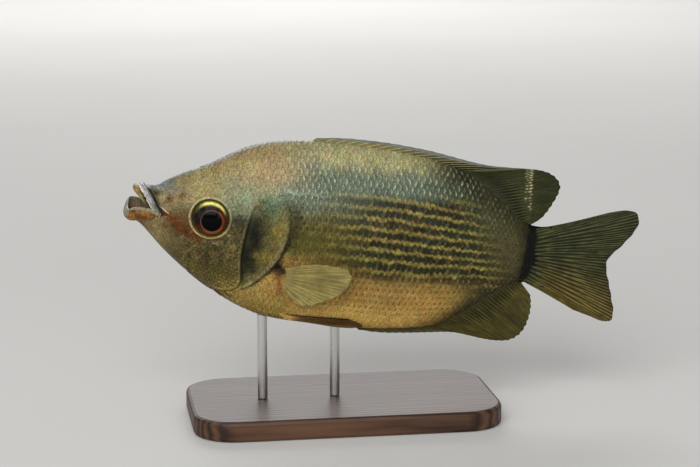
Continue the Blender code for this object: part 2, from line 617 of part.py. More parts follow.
def pectoral_fin(side):
    """The pectoral fin, swung out from the flank round its root."""
    name = "pectoral_fin_left" if side < 0 else "pectoral_fin_right"
    roots = np.linspace(PECTORAL_ROOT[0], PECTORAL_ROOT[1], PECTORAL_RAYS)
    plan = fin_plan(roots, along(PECTORAL_EDGE), np.linspace(0, 1, PECTORAL_RAYS), FIN_ROWS, 0.25, lean=0.1)
    columns = plan.shape[0]
    across, out = np.meshgrid(np.linspace(0, 1, columns), np.linspace(0, 1, FIN_ROWS), indexing="ij")
    foot = plan[:, :1]
    swing = np.tan(math.radians(PECTORAL_SPLAY_DEG)) * (plan[..., 0] - foot[..., 0])
    ripple = 0.25 * out * np.sin(across * 14.0) - 1.2 * out ** 2 * (across - 0.3) ** 2
    y = side * (flank(foot[..., 0], foot[..., 1]) + 0.45 + swing + ripple - SINK * (out < 0.1))
    middle = np.stack([plan[..., 0], y, plan[..., 1]], -1)
    return sheet(name, middle, ray_thickness(columns, FIN_ROWS, 2.0, 0.3))


def pelvic_fin(side):
    """The pelvic fin, folded back along the lower flank, a little clear of it."""
    name = "pelvic_fin_left" if side < 0 else "pelvic_fin_right"
    roots = np.linspace(PELVIC_ROOT[0], PELVIC_ROOT[1], PELVIC_RAYS)
    plan = fin_plan(roots, along(PELVIC_EDGE), np.linspace(0, 1, PELVIC_RAYS), FIN_ROWS, 0.2)
    columns = plan.shape[0]
    out = np.linspace(0, 1, FIN_ROWS)[None, :] * np.ones((columns, 1))
    level = np.maximum(plan[..., 1], belly_line(plan[..., 0]) + 1.2)
    near, far = PELVIC_STAND
    y = side * (flank(plan[..., 0], level) + near + (far - near) * out - 1.2 * (out < 0.1))
    middle = np.stack([plan[..., 0], y, plan[..., 1]], -1)
    return sheet(name, middle, ray_thickness(columns, FIN_ROWS, 0.9, 0.3))


def pose_matrix(nodes):
    """Pitches the fish nose-up, centres it fore and aft, and lifts it clear of the stand's base."""
    pitch = Matrix.Rotation(math.radians(PITCH_DEG), 4, "Y")
    points = np.array([pitch @ v.co for node in nodes for v in node.data.vertices])
    low, high = points.min(0), points.max(0)
    lift = (BASE_SIZE[2] + FIN_CLEARANCE) * MM - low[2]
    return Matrix.Translation((-(low[0] + high[0]) / 2, 0, lift)) @ pitch


def stand_base():
    length, width, height = BASE_SIZE
    bpy.ops.mesh.primitive_cube_add(size=1)
    base = bpy.context.object
    base.name = "stand_base"
    base.data.transform(Matrix.Translation((-BASE_AHEAD * MM, 0, height / 2 * MM))
                        @ Matrix.Diagonal((length * MM, width * MM, height * MM, 1)))
    for name, reach, limit in (("corners", BASE_CORNER, "WEIGHT"), ("edges", BASE_BEVEL, "ANGLE")):
        bevel = base.modifiers.new(name, "BEVEL")
        bevel.width = reach * MM
        bevel.limit_method = limit
        bevel.segments = 8 if limit == "WEIGHT" else 2
        bevel.angle_limit = math.radians(60)
    weight = base.data.attributes.new("bevel_weight_edge", "FLOAT", "EDGE")
    for edge in base.data.edges:
        a, b = (base.data.vertices[i].co for i in edge.vertices)
        weight.data[edge.index].value = 1.0 if abs(a.z - b.z) > height / 2 * MM else 0.0
    return base


def stand_rod(name, root, pose, swollen):
    """A rod from the base up to the belly, its top cut to the belly's shape."""
    at = pose @ (Vector((root, 0, float(belly_line(root)))) * MM)
    bottom = (BASE_SIZE[2] + GAP) * MM
    top = at.z + 6 * MM
    bpy.ops.mesh.primitive_cylinder_add(vertices=20, radius=ROD_RADIUS * MM, depth=top - bottom,
                                        location=(at.x, 0, (top + bottom) / 2))
    rod = bpy.context.object
    rod.name = name
    cutter = copy_of(swollen)
    cutter.data.transform(pose)
    return combine(rod, [cutter], "DIFFERENCE")


MATERIALS = {
    "skin": ((0.36, 0.32, 0.19), 0.42, 0.25),
    "lip": ((0.52, 0.44, 0.34), 0.38, 0.0),
    "eye": ((0.06, 0.03, 0.02), 0.12, 0.0),
    "fin": ((0.24, 0.24, 0.15), 0.45, 0.0),
    "pectoral": ((0.50, 0.49, 0.30), 0.45, 0.0),
    "wood": ((0.075, 0.042, 0.026), 0.45, 0.0),
    "steel": ((0.62, 0.62, 0.61), 0.28, 1.0),
}


def finish(nodes, slots):
    """Gives each node its own material and smooth shading."""
    for node in nodes:
        colour, roughness, metallic = MATERIALS[slots[node.name]]
        material = bpy.data.materials.new(node.name)
        material.use_nodes = True
        shader = material.node_tree.nodes["Principled BSDF"]
        shader.inputs["Base Color"].default_value = (*colour, 1)
        shader.inputs["Roughness"].default_value = roughness
        shader.inputs["Metallic"].default_value = metallic
        node.data.materials.clear()
        node.data.materials.append(material)
        node.data.shade_smooth()
        node.data.set_sharp_from_angle(angle=math.radians(35))


def main():
    for obj in list(bpy.data.objects):
        bpy.data.objects.remove(obj)
    swollen = combine(body("swollen", GAP), [slab("tail_end", TAIL_END, -GAP, 30)], "DIFFERENCE")
    slots = {}

    def seated(nodes, slot):
        """Cuts each node off GAP clear of the body that it grows from."""
        for node in nodes:
            combine(node, [copy_of(swollen)], "DIFFERENCE")
            slots[node.name] = slot
        return nodes

    fish = fish_body()
    slots.update({node.name: "skin" for node in fish})
    for side in (-1, 1):
        cover = gill_cover(side)
        slots[cover.name] = "skin"
        ball_of_eye = eye(side)
        slots[ball_of_eye.name] = "eye"
        fish += [cover, ball_of_eye]
    fish += lips(slots)
    fish += seated([dorsal_fin(), anal_fin(), caudal_fin(), pelvic_fin(-1), pelvic_fin(1)], "fin")
    fish += seated([pectoral_fin(-1), pectoral_fin(1)], "pectoral")
    pose = pose_matrix(fish)
    for node in fish:
        node.data.transform(pose)
    base = stand_base()
    slots[base.name] = "wood"
    rods = [stand_rod(name, root, pose, swollen)
            for name, root in zip(("stand_rod_front", "stand_rod_rear"), ROD_ROOTS)]
    slots.update({rod.name: "steel" for rod in rods})
    bpy.data.objects.remove(swollen)
    nodes = fish + [base] + rods
    finish(nodes, slots)
    group = bpy.data.collections.new("kissing_gourami")
    bpy.context.scene.collection.children.link(group)
    for node in nodes:
        for old in list(node.users_collection):
            old.objects.unlink(node)
        group.objects.link(node)


def lips(slots):
    """Both lips, seated a gap clear of the snout, of the lower jaw and of each other."""
    swollen = body("jaw", GAP)
    combine(swollen, [mouth_cutter_swollen()], "DIFFERENCE")
    upper, lower = upper_lip(), lower_lip()
    combine(lower, [copy_of(swollen), upper_lip(GAP)], "DIFFERENCE")
    combine(upper, [copy_of(swollen)], "DIFFERENCE")
    bpy.data.objects.remove(swollen)
    for lip in (upper, lower):
        slots[lip.name] = "lip"
    return [upper, lower]


def mouth_cutter_swollen():
    """The mouth's cutter drawn in by the gap, so that what is left is the snout and jaw with the gap added."""
    cutter = mouth_cutter()
    cutter.data.transform(Matrix.Translation((-GAP * MM, 0, GAP * MM)))
    return cutter


main()
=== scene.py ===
"""The looks of the kissing gourami display model: one skin, its coat of scales, fine fins and eyes.

The fish is drawn level, in millimetres: x runs back from the tip of the lips, y is across (its left
side is -y) and z is up from the body's long axis. place_fish() sets it where the frame holds it.
"""

import math

import bmesh
import bpy
import numpy as np
from mathutils import Matrix, Vector


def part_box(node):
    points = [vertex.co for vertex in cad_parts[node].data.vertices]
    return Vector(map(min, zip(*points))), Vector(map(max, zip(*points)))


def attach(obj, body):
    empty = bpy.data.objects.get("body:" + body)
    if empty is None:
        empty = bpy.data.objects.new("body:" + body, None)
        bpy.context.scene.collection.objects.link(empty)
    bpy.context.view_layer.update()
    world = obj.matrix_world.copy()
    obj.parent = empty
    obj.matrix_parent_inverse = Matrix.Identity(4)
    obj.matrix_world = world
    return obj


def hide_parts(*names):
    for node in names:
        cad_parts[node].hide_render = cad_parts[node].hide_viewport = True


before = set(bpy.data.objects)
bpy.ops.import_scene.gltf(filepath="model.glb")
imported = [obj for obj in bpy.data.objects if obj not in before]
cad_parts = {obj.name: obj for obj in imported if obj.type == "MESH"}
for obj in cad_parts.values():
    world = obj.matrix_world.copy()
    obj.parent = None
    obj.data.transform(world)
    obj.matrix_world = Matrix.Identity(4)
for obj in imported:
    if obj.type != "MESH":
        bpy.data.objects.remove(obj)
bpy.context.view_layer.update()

MM = 0.001
PITCH_DEG = 7.0
SIDES = {-1: "left", 1: "right"}

# Body lines: (distance back from the lips, value). Heights are from the body's long axis.
BACK_LINE = [(3.0, 9.6), (6.4, 10.3), (9.5, 10.5), (14.0, 13.1), (20.0, 16.3), (27.0, 19.4), (33.0, 23.0),
             (40.0, 26.7), (47.0, 28.9), (56.0, 30.2), (66.0, 30.7), (80.0, 30.3), (92.0, 29.5),
             (102.0, 28.4), (109.0, 27.0), (116.0, 24.5), (122.0, 21.4), (128.0, 17.0), (134.0, 12.3),
             (139.0, 9.3), (144.0, 8.8), (149.0, 9.4)]
BELLY_LINE = [(3.0, -1.6), (5.0, -2.5), (9.5, -6.4), (13.0, -9.8), (20.7, -16.1), (28.0, -21.3),
              (35.0, -25.2), (42.6, -28.7), (50.0, -30.9), (57.0, -31.8), (71.0, -32.4), (85.0, -32.5),
              (99.0, -31.6), (106.0, -30.6), (112.0, -28.9), (118.0, -25.3), (124.0, -20.8), (129.0, -16.9),
              (134.0, -13.5), (139.0, -11.7), (144.0, -12.2), (149.0, -13.2)]
WIDEST_LEVEL = [(3.0, 0.0), (9.0, 1.0), (14.0, 1.6), (27.0, 0.5), (40.0, 0.0), (60.0, 1.5), (90.0, 1.5),
                (120.0, 0.0), (144.0, -1.5), (149.0, -1.5)]
HALF_WIDTH = [(3.0, 2.4), (5.0, 3.5), (7.5, 4.2), (10.0, 4.7), (14.0, 5.6), (20.0, 7.4), (27.0, 9.3),
              (34.0, 10.9), (42.0, 12.1), (50.0, 12.8), (60.0, 13.1), (72.0, 12.8), (85.0, 11.9),
              (98.0, 10.4), (110.0, 8.4), (120.0, 6.5), (130.0, 4.7), (138.0, 3.1), (143.0, 1.8),
              (145.5, 0.9), (149.0, 0.1)]
BACK_POWER = [(3.0, 0.95), (30.0, 0.92), (50.0, 1.0), (80.0, 1.1), (120.0, 1.15), (149.0, 1.0)]
BELLY_POWER = [(3.0, 0.9), (14.0, 1.0), (40.0, 1.08), (60.0, 1.0), (85.0, 1.05), (110.0, 1.2), (149.0, 1.0)]
BODY_START, BODY_END = 3.0, 148.0

# Mouth and lips, as in the solids. Each row of a lip starts with the share of the way from its middle (0)
# to its corner (1)
SNOUT_TOP = (6.6, 10.4)
GAPE_CORNER = (13.8, 0.9)
JAW_FLOOR = (2.0, -0.2)
# x, y and z along the upper lip's bar, along the roll in front of it, and along the lower lip
LIP_BAR = [(0.0, 4.9, 0.0, 10.0), (0.25, 5.1, 2.5, 9.9), (0.45, 6.0, 4.0, 8.9), (0.65, 7.5, 4.8, 6.6),
           (1.0, 10.7, 5.1, 1.9)]
LIP_BAR_RADIUS = [(0.0, 0.95), (0.4, 0.92), (0.8, 0.84), (1.0, 0.7)]
LIP_ROLL = [(0.0, 3.5, 0.0, 9.1), (0.25, 3.6, 2.0, 8.9), (0.5, 4.6, 3.5, 7.5), (0.75, 6.7, 4.2, 4.9),
            (1.0, 9.4, 4.6, 2.2)]
LIP_ROLL_RADIUS = [(0.0, 1.4), (0.3, 1.3), (0.6, 0.75), (1.0, 0.45)]
LIP_SKIN_SHIFT = (2.2, -0.9, 0.85)
LIP_SKIN_RADIUS = 1.1
JAW_LIP = [(0.0, 1.1, 0.0, 0.0), (0.2, 1.4, 1.9, 0.0), (0.4, 2.7, 3.6, 0.0), (0.6, 4.8, 4.5, 0.0),
           (0.8, 7.6, 4.8, 0.0), (1.0, 11.2, 4.9, 0.0)]
# The lower lip's top, from its left corner (-1) over a low lobe, a notch and a tall lobe to its right one (1)
JAW_LIP_TOP = [(-1.0, 1.5), (-0.85, 2.7), (-0.7, 3.3), (-0.55, 3.3), (-0.4, 2.8), (-0.26, 2.0), (-0.1, 2.2),
               (0.05, 3.9), (0.18, 5.2), (0.32, 5.5), (0.45, 5.4), (0.6, 5.1), (0.7, 4.5), (0.85, 3.2),
               (1.0, 1.5)]
JAW_LIP_BOTTOM = [(0.0, -1.9), (0.3, -1.9), (0.6, -1.4), (0.8, -0.9), (1.0, 0.1)]
JAW_LIP_THICK = [(0.0, 0.8), (0.4, 0.85), (0.8, 0.8), (1.0, 0.6)]
JAW_LIP_BULGE = [(0.0, 1.2), (0.3, 1.0), (0.6, 0.6), (1.0, 0.2)]
# How much thinner the lower lip gets towards its rim
JAW_LIP_TAPER = 0.62
LIP_BLUNT = 0.8
# How many points the lips' centre lines have, for their shapes and for their colours
LIP_POINTS, JAW_POINTS, TONE_POINTS = 61, 81, 121
MOUTH_VOXEL = 0.2
MOUTH_SMOOTHINGS = 4
# The remeshed mouth piece meets the lofted skin here
MOUTH_END = 20.0
# The hollow behind the lips: the middle and half length of its run back, its level and its greatest radius
THROAT_X, THROAT_REACH, THROAT_Z, THROAT_RADIUS = 9.0, 6.0, 3.4, 2.9

# Eye, orbit and nostrils, which are x, z and radius
EYE_AT = (28.2, 2.5)
EYE_RADIUS, EYE_BULGE, EYE_DEPTH = 6.1, 1.9, 4.0
PUPIL_RADIUS = 3.4
PUPIL_OFF = (0.35, -0.75)
ORBIT_RADIUS = 6.55
NOSTRILS = [(14.2, 7.0, 0.6), (18.5, 8.6, 0.75)]
# The fold behind the lip bar: a groove painted black as its shade, then a red skin with a pale edge over it
MOUTH_GROOVE = [(7.6, 9.0), (8.7, 7.4), (10.2, 5.0), (11.0, 3.4)]
MOUTH_FOLD = [(9.8, 5.2), (11.8, 3.9), (14.4, 2.1)]

# Gill cover and cheek edges, as (x, z); the cover's are given as x at a level, from below upwards
COVER_FREE_AT = [(-27.0, 34.0), (-21.3, 40.9), (-18.4, 44.6), (-14.8, 48.0), (-10.8, 50.8), (-7.0, 52.8),
                 (-2.8, 54.0), (1.8, 54.5), (6.0, 54.3), (9.6, 53.0), (12.2, 50.6), (13.6, 47.6),
                 (15.5, 46.0)]
COVER_FRONT_AT = [(-27.0, 32.0), (-20.9, 39.8), (-17.6, 41.0), (-10.6, 40.2), (-2.2, 40.7), (4.6, 41.6),
                  (7.6, 42.3), (10.2, 43.2), (15.5, 43.6)]
COVER_RISE = 0.75
# Where the cover's relief starts and is full from below, and is full and ends above
COVER_LEVELS = (-23.5, -19.0, 10.0, 13.4)
# The pit over the pectoral fin's root and the bare skin round it: x, z and the reach along each
AXIL_PIT = (52.6, -12.2, 1.6, 2.2)
AXIL_BARE = (53.4, -13.2, 2.2, 3.6)
CHEEK_EDGE = [(42.3, 9.4), (41.2, 6.0), (40.4, 2.2), (39.8, -2.0), (39.3, -6.8), (39.4, -11.2), (40.0, -15.6),
              (40.0, -19.0), (38.6, -21.0), (36.4, -22.0), (33.6, -22.4), (30.4, -21.2)]

# Scale rows: how far up the flank from the reference row each row's edge lies, and how the rows
# run: the reference row's level, and how much the rows close up towards the tail
ROW_REACH = [(-24.0, -52.0), (-20.0, -42.6), (-16.0, -33.0), (-12.0, -23.6), (-10.0, -18.9), (-8.0, -14.5),
             (0.0, 0.0), (6.0, 10.8), (8.0, 15.0), (10.0, 19.6), (14.0, 28.8), (18.0, 38.0)]
ROW_LEVEL = [(3.0, 3.4), (45.0, 4.0), (75.0, 4.5), (88.0, 4.2), (105.0, 3.0), (122.0, 1.8), (135.0, 0.8),
             (149.0, -0.6)]
ROW_CLOSING = [(3.0, 0.66), (22.0, 0.74), (45.0, 0.93), (62.0, 1.0), (90.0, 1.0), (110.0, 0.91),
               (125.0, 0.82), (149.0, 0.74)]
SCALE_PITCH = [(15.0, 1.35), (30.0, 1.6), (45.0, 1.9), (60.0, 2.08), (110.0, 2.1), (130.0, 1.8), (149.0, 1.5)]
SCALE_OVERLAP = 2.3
SCALE_HEIGHT = 1.16
SCALE_LIFT = 0.05
SCALE_SLOPE = 0.27
COAT_DEPTH = 0.26
# One scale, as a grid: shares of its length, closer where it shows, and of its half height
SCALE_LENGTHS = np.array([0.0, 0.42, 0.62, 0.74, 0.82, 0.88, 0.94, 1.0])
SCALE_ACROSS = np.array([-1.0, -0.62, -0.36, -0.17, 0.0, 0.17, 0.36, 0.62, 1.0])
# Where the coat starts and ends, and the levels between which the head has smaller scales, this far apart
SCALES_START, SCALES_END = 20.0, 139.6
HEAD_SCALES_LOW, HEAD_SCALES_HIGH = -24.0, 14.0
HEAD_SCALE_PITCH = 1.5
# The first and last row of each piece of the trunk's coat
COAT_PARTS = {"lower": (-25, -8), "middle": (-8, 7), "upper": (7, 19)}
# The lateral line's front part: its first and last x, and its level
LATERAL_LINE = (51.0, 72.0, 13.3)

# Fins, as in the solids. Sway is the height, start and wave count of a fin's wavy edge
DORSAL = {"edge": [(61.0, 31.5), (66.6, 32.2), (73.5, 32.6), (80.4, 32.6), (87.4, 32.4), (94.4, 31.9),
                   (101.5, 31.2), (108.7, 30.1), (115.9, 28.9), (123.2, 28.1), (130.3, 28.1), (137.4, 28.3),
                   (141.5, 28.2), (145.0, 27.4), (147.8, 25.6), (149.1, 23.2), (148.8, 20.6), (147.6, 17.6),
                   (146.0, 14.4), (144.3, 11.9), (142.9, 10.6)],
          "spines": 17, "spine_roots": (57.0, 107.5), "spine_lengths": (5.0, 21.0), "spine_light": 1.0,
          "rays": 14, "ray_roots": (110.5, 138.6), "first_ray_tip": 135.0, "sway": (0.9, 0.55, 9.0),
          "seed": 21}
ANAL = {"edge": [(83.5, -33.3), (88.6, -33.7), (94.0, -33.7), (99.1, -33.3), (104.4, -32.8), (109.7, -32.2),
                 (114.0, -31.7), (118.5, -31.5), (124.1, -32.2), (129.0, -32.9), (134.0, -33.2),
                 (138.4, -32.6), (141.2, -30.9), (143.1, -28.2), (144.1, -25.0), (144.5, -21.4),
                 (144.2, -18.2), (143.6, -15.8)],
        "spines": 14, "spine_roots": (80.5, 104.5), "spine_lengths": (4.0, 15.0), "spine_light": 0.1,
        "rays": 17, "ray_roots": (106.5, 138.2), "first_ray_tip": 123.0, "sway": (-0.9, 0.5, 8.0), "seed": 22}
# Where the dorsal fin's soft part catches the light on a bend
FIN_BEND = 140.8
CAUDAL_EDGE = [(164.0, 13.7), (171.0, 15.9), (176.0, 16.8), (179.0, 15.9), (180.0, 13.4), (179.3, 10.2),
               (177.2, 6.8), (174.2, 3.2), (171.3, 0.4), (170.1, -2.6), (170.9, -6.3), (172.4, -10.4),
               (173.8, -15.0), (174.8, -19.0), (174.6, -22.2), (172.2, -23.2), (166.0, -21.7), (160.0, -20.0)]
CAUDAL_ROOT = [(140.4, 7.2), (138.8, -10.6)]
CAUDAL_RAYS, CAUDAL_BEND = 16, 3.0
PECTORAL_EDGE = [(65.0, -8.9), (71.0, -8.9), (75.6, -9.7), (76.9, -11.8), (76.0, -15.6), (73.2, -19.0),
                 (69.0, -21.6), (65.0, -23.6), (61.6, -24.2), (59.0, -23.2)]
PECTORAL_ROOT = [(54.2, -11.8), (55.0, -18.4)]
PECTORAL_RAYS, PECTORAL_SPLAY_DEG = 12, 13.0
PELVIC_EDGE = [(79.0, -28.4), (83.0, -29.6), (85.2, -31.0), (82.6, -31.9), (78.0, -32.2), (73.0, -32.0)]
PELVIC_ROOT = [(54.8, -28.9), (57.6, -30.8)]
PELVIC_RAYS, PELVIC_STAND = 6, (0.5, 1.1)
# How deep a fin's root sits in the body
SINK = 2.2
MEMBRANE_THICK, RAY_THICK, RAY_JOINT = 0.16, 0.5, 0.9

# Colours, as 0 to 255 screen values: the body's ground
# The nape and back are lighter and the belly brighter, partly as the fish's own colours and partly as painted
# light: light from above on the back, light bounced up onto the belly
NAPE = (150, 130, 92)
BACK = (178, 171, 123)
UPPER_FLANK = (106, 118, 97)
REAR_FLANK = (62, 68, 42)
MID_FLANK = (89, 82, 33)
LOWER_FLANK = (166, 132, 68)
BELLY = (204, 166, 92)
STALK = (70, 64, 36)
FIN_FOOT = (50, 48, 28)
TAIL_BAND = (6, 7, 4)
# Stripes and single scales
STRIPE_LIGHT = (122, 112, 52)
STRIPE_WARM = (126, 106, 54)
STRIPE_DARK = (30, 28, 14)
STRIPE_GREEN = (32, 38, 24)
STRIPE_GREY = (44, 44, 26)
STRIPE_BROWN = (58, 44, 24)
SCALE_DOT = (58, 40, 12)
# Partly the scales' own silver, partly painted glints; also the painted highlight along the lateral line
SILVER_AND_GLINT = (190, 196, 172)
SCALE_GOLD = (196, 172, 110)
# Head and gill cover
FOREHEAD = (141, 127, 79)
SNOUT = (114, 101, 66)
CHEEK = (78, 68, 38)
THROAT = (86, 76, 36)
CHEEK_DARK = (44, 50, 30)
CHEEK_LINE = (150, 128, 84)
BREAST = (144, 120, 62)
COVER_DARK = (7, 9, 4)
COVER_LIGHT = (97, 92, 54)
COVER_TOP = (74, 94, 70)
# A pale colour for the gill cover's rim and the pectoral fin's root; also painted highlights on the cheek
# bone's ridge and before the first nostril
PALE_EDGE_AND_HIGHLIGHT = (136, 124, 80)
COVER_GOLD = (126, 108, 44)
# Painted shade: the dark in the grooves at the gill cover's and cheek bone's edges, under the cover's free
# edge, along the lateral line, round the lip bar and where the eye meets its orbit
GROOVE_SHADE = (22, 19, 12)
GREEN_GLINT = (116, 142, 114)
RED_BROWN = (76, 38, 4)
RED_CHEEK = (96, 47, 14)
# Painted shade in the pit over the pectoral fin's root, behind the gill cover
AXIL_SHADE = (10, 5, 4)
AXIL_RED = (112, 58, 30)
SNOUT_BLUE = (112, 120, 120)
# Mouth and lips
# Painted shade: the black in the groove behind the lip bar
LIP_GROOVE_SHADE = (6, 5, 4)
LIP_PALE = (132, 138, 130)
LIP_LILAC = (158, 154, 152)
LIP_GREY = (132, 137, 112)
LIP_ORANGE = (128, 88, 34)
LIP_OLIVE = (128, 124, 84)
LIP_EDGE = (226, 222, 200)
LIP_STREAK = (84, 88, 104)
JAW_OUTSIDE = (124, 84, 36)
JAW_BLOTCH = (90, 54, 24)
JAW_INSIDE = (146, 127, 102)
JAW_GROOVE = (92, 77, 56)
# Painted shade deep in the mouth
MOUTH_SHADE = (40, 20, 12)
MOUTH_RED = (80, 22, 12)
# Fins
PELVIC_EDGE_TONE = (24, 16, 10)
CAUDAL_LOW = (138, 120, 60)
FIN_MEMBRANE = (15, 18, 2)
FIN_RAY = (55, 58, 22)
SPINE_GROUND = (136, 126, 82)
# The folded spines' own pale colour, also used for the painted glints on the soft dorsal rays
SPINE_PALE_AND_GLINT = (244, 232, 176)
FIN_EDGE = (104, 112, 106)
ANAL_MEMBRANE = (32, 30, 4)
ANAL_RAY = (86, 78, 36)
CAUDAL_MEMBRANE = (27, 29, 12)
CAUDAL_RAY = (88, 90, 54)
PECTORAL_MEMBRANE = (116, 104, 56)
PECTORAL_RAY = (160, 152, 98)
PELVIC_MEMBRANE = (78, 54, 28)
PELVIC_RAY = (112, 86, 52)
# Eyes
PUPIL = (2, 3, 4)
PUPIL_RING = (140, 78, 62)
IRIS_DARK = (20, 20, 20)
IRIS_RED = (62, 28, 14)
IRIS_ORANGE = (150, 82, 36)
IRIS_GOLD = (246, 232, 130)
EYE_GREEN = (74, 76, 36)
EYE_RIM = (190, 180, 138)
EYE_RIM_LOW = (196, 150, 96)

# The body's ground colours, lowest layer first: where each one starts and is full, along x and along z
BODY_LAYERS = [(NAPE, (66, 48), (12, 19)),
               (BACK, (46, 66), (20, 27)),
               (MID_FLANK, (40, 50), (13, 3)),
               (REAR_FLANK, (92, 118), (-14, -4)),
               (LOWER_FLANK, (40, 50, 128, 106), (-4, -14)),
               (BELLY, (118, 96), (-20, -29)),
               (STALK, (114, 132), ())]
# Patches of the head's colour: colour, strength, x, z, reach along x and z, and what each is held to
HEAD_PATCHES = [(COVER_DARK, 1.0, 43.2, -1.0, 4.6, 9.0, "cover"),
                (COVER_DARK, 0.95, 42.0, -10.0, 3.4, 6.5, "cover"),
                (COVER_DARK, 0.6, 37.5, 3.5, 3.0, 4.0, "any"),
                (COVER_TOP, 1.0, 48.8, 8.8, 3.4, 4.0, "cover"),
                (GREEN_GLINT, 0.45, 48.8, 11.2, 2.2, 1.6, "cover"),
                (COVER_GOLD, 0.7, 51.0, 1.0, 2.4, 4.6, "cover"),
                (COVER_GOLD, 0.7, 48.0, -8.7, 3.0, 2.2, "cover"),
                (COVER_DARK, 0.75, 56.0, -0.6, 1.6, 5.0, "behind"),
                (COVER_DARK, 0.5, 57.0, 6.0, 2.4, 4.0, "behind"),
                # Painted shade in the pit over the pectoral fin's root
                (AXIL_SHADE, 1.0, 52.6, -11.6, 2.6, 2.4, "behind"),
                (AXIL_SHADE, 1.0, 52.4, -12.0, 2.2, 2.0, "behind"),
                (AXIL_SHADE, 0.8, 53.4, -14.0, 1.2, 2.6, "behind"),
                (AXIL_RED, 0.8, 54.0, -17.6, 1.6, 2.8, "behind"),
                (GREEN_GLINT, 0.6, 39.4, 9.2, 1.0, 1.0, "any"),
                (RED_CHEEK, 0.75, 5.5, -3.0, 2.8, 2.2, "any"),
                (RED_CHEEK, 0.4, 20.4, 1.2, 1.8, 3.0, "any"),
                (SNOUT_BLUE, 0.9, 10.4, 12.0, 4.4, 2.2, "any"),
                (RED_CHEEK, 0.65, 14.2, 7.0, 1.5, 1.1, "any"),
                (RED_CHEEK, 0.4, 18.5, 8.6, 1.5, 1.1, "any"),
                # A painted highlight before the first nostril
                (PALE_EDGE_AND_HIGHLIGHT, 0.8, 11.4, 7.4, 1.4, 0.8, "any"),
                (COVER_GOLD, 0.5, 38.0, -20.0, 3.4, 1.3, "any"),
                (COVER_DARK, 0.4, 31.0, -12.0, 6.0, 4.0, "any"),
                (SNOUT_BLUE, 0.15, 24.0, 16.0, 5.0, 1.2, "any")]
# The red band under the eye and its core: colour, strength, its two ends and its width
RED_STREAKS = [(RED_BROWN, 0.9, (14.6, 0.4), (23.8, -4.8), 2.0),
               (RED_CHEEK, 0.5, (14.4, 1.0), (22.0, -2.4), 1.0)]


def cubic(start, end, start_slope, end_slope, step, t):
    """The curve with these ends and slopes, at a share t of a step between them."""
    return (start * (1 + 2 * t) * (1 - t) ** 2 + step * start_slope * t * (1 - t) ** 2
            + end * t * t * (3 - 2 * t) + step * end_slope * t * t * (t - 1))


def smooth(points):
    """A curve through (x, value) points that adds no bumps between them, as a function of x."""
    x, y = np.array(points, float).T
    step = np.diff(x)
    slope = np.diff(y) / step
    tangent = np.zeros(len(x))
    for i in range(1, len(x) - 1):
        before, after = slope[i - 1], slope[i]
        if before * after > 0:
            near, far = 2 * step[i] + step[i - 1], step[i] + 2 * step[i - 1]
            tangent[i] = (near + far) / (near / before + far / after)
    tangent[0], tangent[-1] = slope[0], slope[-1]

    def value(at):
        at = np.clip(np.asarray(at, float), x[0], x[-1])
        i = np.clip(np.searchsorted(x, at) - 1, 0, len(x) - 2)
        return cubic(y[i], y[i + 1], tangent[i], tangent[i + 1], step[i], (at - x[i]) / step[i])

    return value


back_line, belly_line, widest_level = smooth(BACK_LINE), smooth(BELLY_LINE), smooth(WIDEST_LEVEL)
half_width, back_power, belly_power = smooth(HALF_WIDTH), smooth(BACK_POWER), smooth(BELLY_POWER)
cover_free, cover_front = smooth(COVER_FREE_AT), smooth(COVER_FRONT_AT)
row_reach, row_level, row_closing = smooth(ROW_REACH), smooth(ROW_LEVEL), smooth(ROW_CLOSING)
row_at_reach = smooth([(reach, row) for row, reach in ROW_REACH])
scale_pitch = smooth(SCALE_PITCH)


def body_point(x, angle):
    """The point of the body's surface at x, at an angle round from the back."""
    middle = widest_level(x)
    up, out = np.cos(angle), np.sin(angle)
    reach = np.where(up >= 0, back_line(x) - middle, middle - belly_line(x))
    power = np.where(up >= 0, back_power(x), belly_power(x))
    y = half_width(x) * np.sign(out) * np.abs(out) ** power
    return np.stack(np.broadcast_arrays(x, y, middle + reach * up), -1)


def flank(x, z):
    """How far the flank lies from the middle plane at (x, z)."""
    middle = widest_level(x)
    reach = np.where(z >= middle, back_line(x) - middle, middle - belly_line(x))
    up = np.clip((z - middle) / reach, -1, 1)
    power = np.where(z >= middle, back_power(x), belly_power(x))
    return half_width(x) * np.sqrt(1 - up * up) ** power


def ramp(value, low, high):
    """0 up to low, 1 from high on, with a smooth rise between them. low may be the larger."""
    t = np.clip((np.asarray(value, float) - low) / (high - low), 0, 1)
    return t * t * (3 - 2 * t)


def zone(value, *edges):
    """1 between edges, 0 past them. The edges come in pairs: where one starts, and where it is full."""
    inside = 1.0
    for start, full in zip(edges[::2], edges[1::2]):
        inside = inside * ramp(value, start, full)
    return inside


def hump(value, centre, width):
    """A smooth bump of height 1."""
    return np.exp(-((value - centre) / width) ** 2)


def along(points, count=200):
    """A smooth line through a few points, as many points evenly spaced along its length."""
    points = np.array(points, float)
    at = np.concatenate([[0], np.cumsum(np.linalg.norm(np.diff(points, axis=0), axis=1) ** 0.5)])
    tangent = np.gradient(points, at, axis=0)
    fine = np.linspace(0, at[-1], 20 * len(points))
    i = np.clip(np.searchsorted(at, fine) - 1, 0, len(at) - 2)
    step = (at[i + 1] - at[i])[:, None]
    line = cubic(points[i], points[i + 1], tangent[i], tangent[i + 1], step, (fine - at[i])[:, None] / step)
    return spaced(line, np.linspace(0, 1, count))


def lengths(line):
    """How far along a line each of its points lies."""
    return np.concatenate([[0], np.cumsum(np.linalg.norm(np.diff(line, axis=0), axis=1))])


def spaced(line, shares):
    """The points at these shares of a line's length."""
    length = lengths(line)
    return np.stack([np.interp(np.asarray(shares) * length[-1], length, c) for c in line.T], -1)


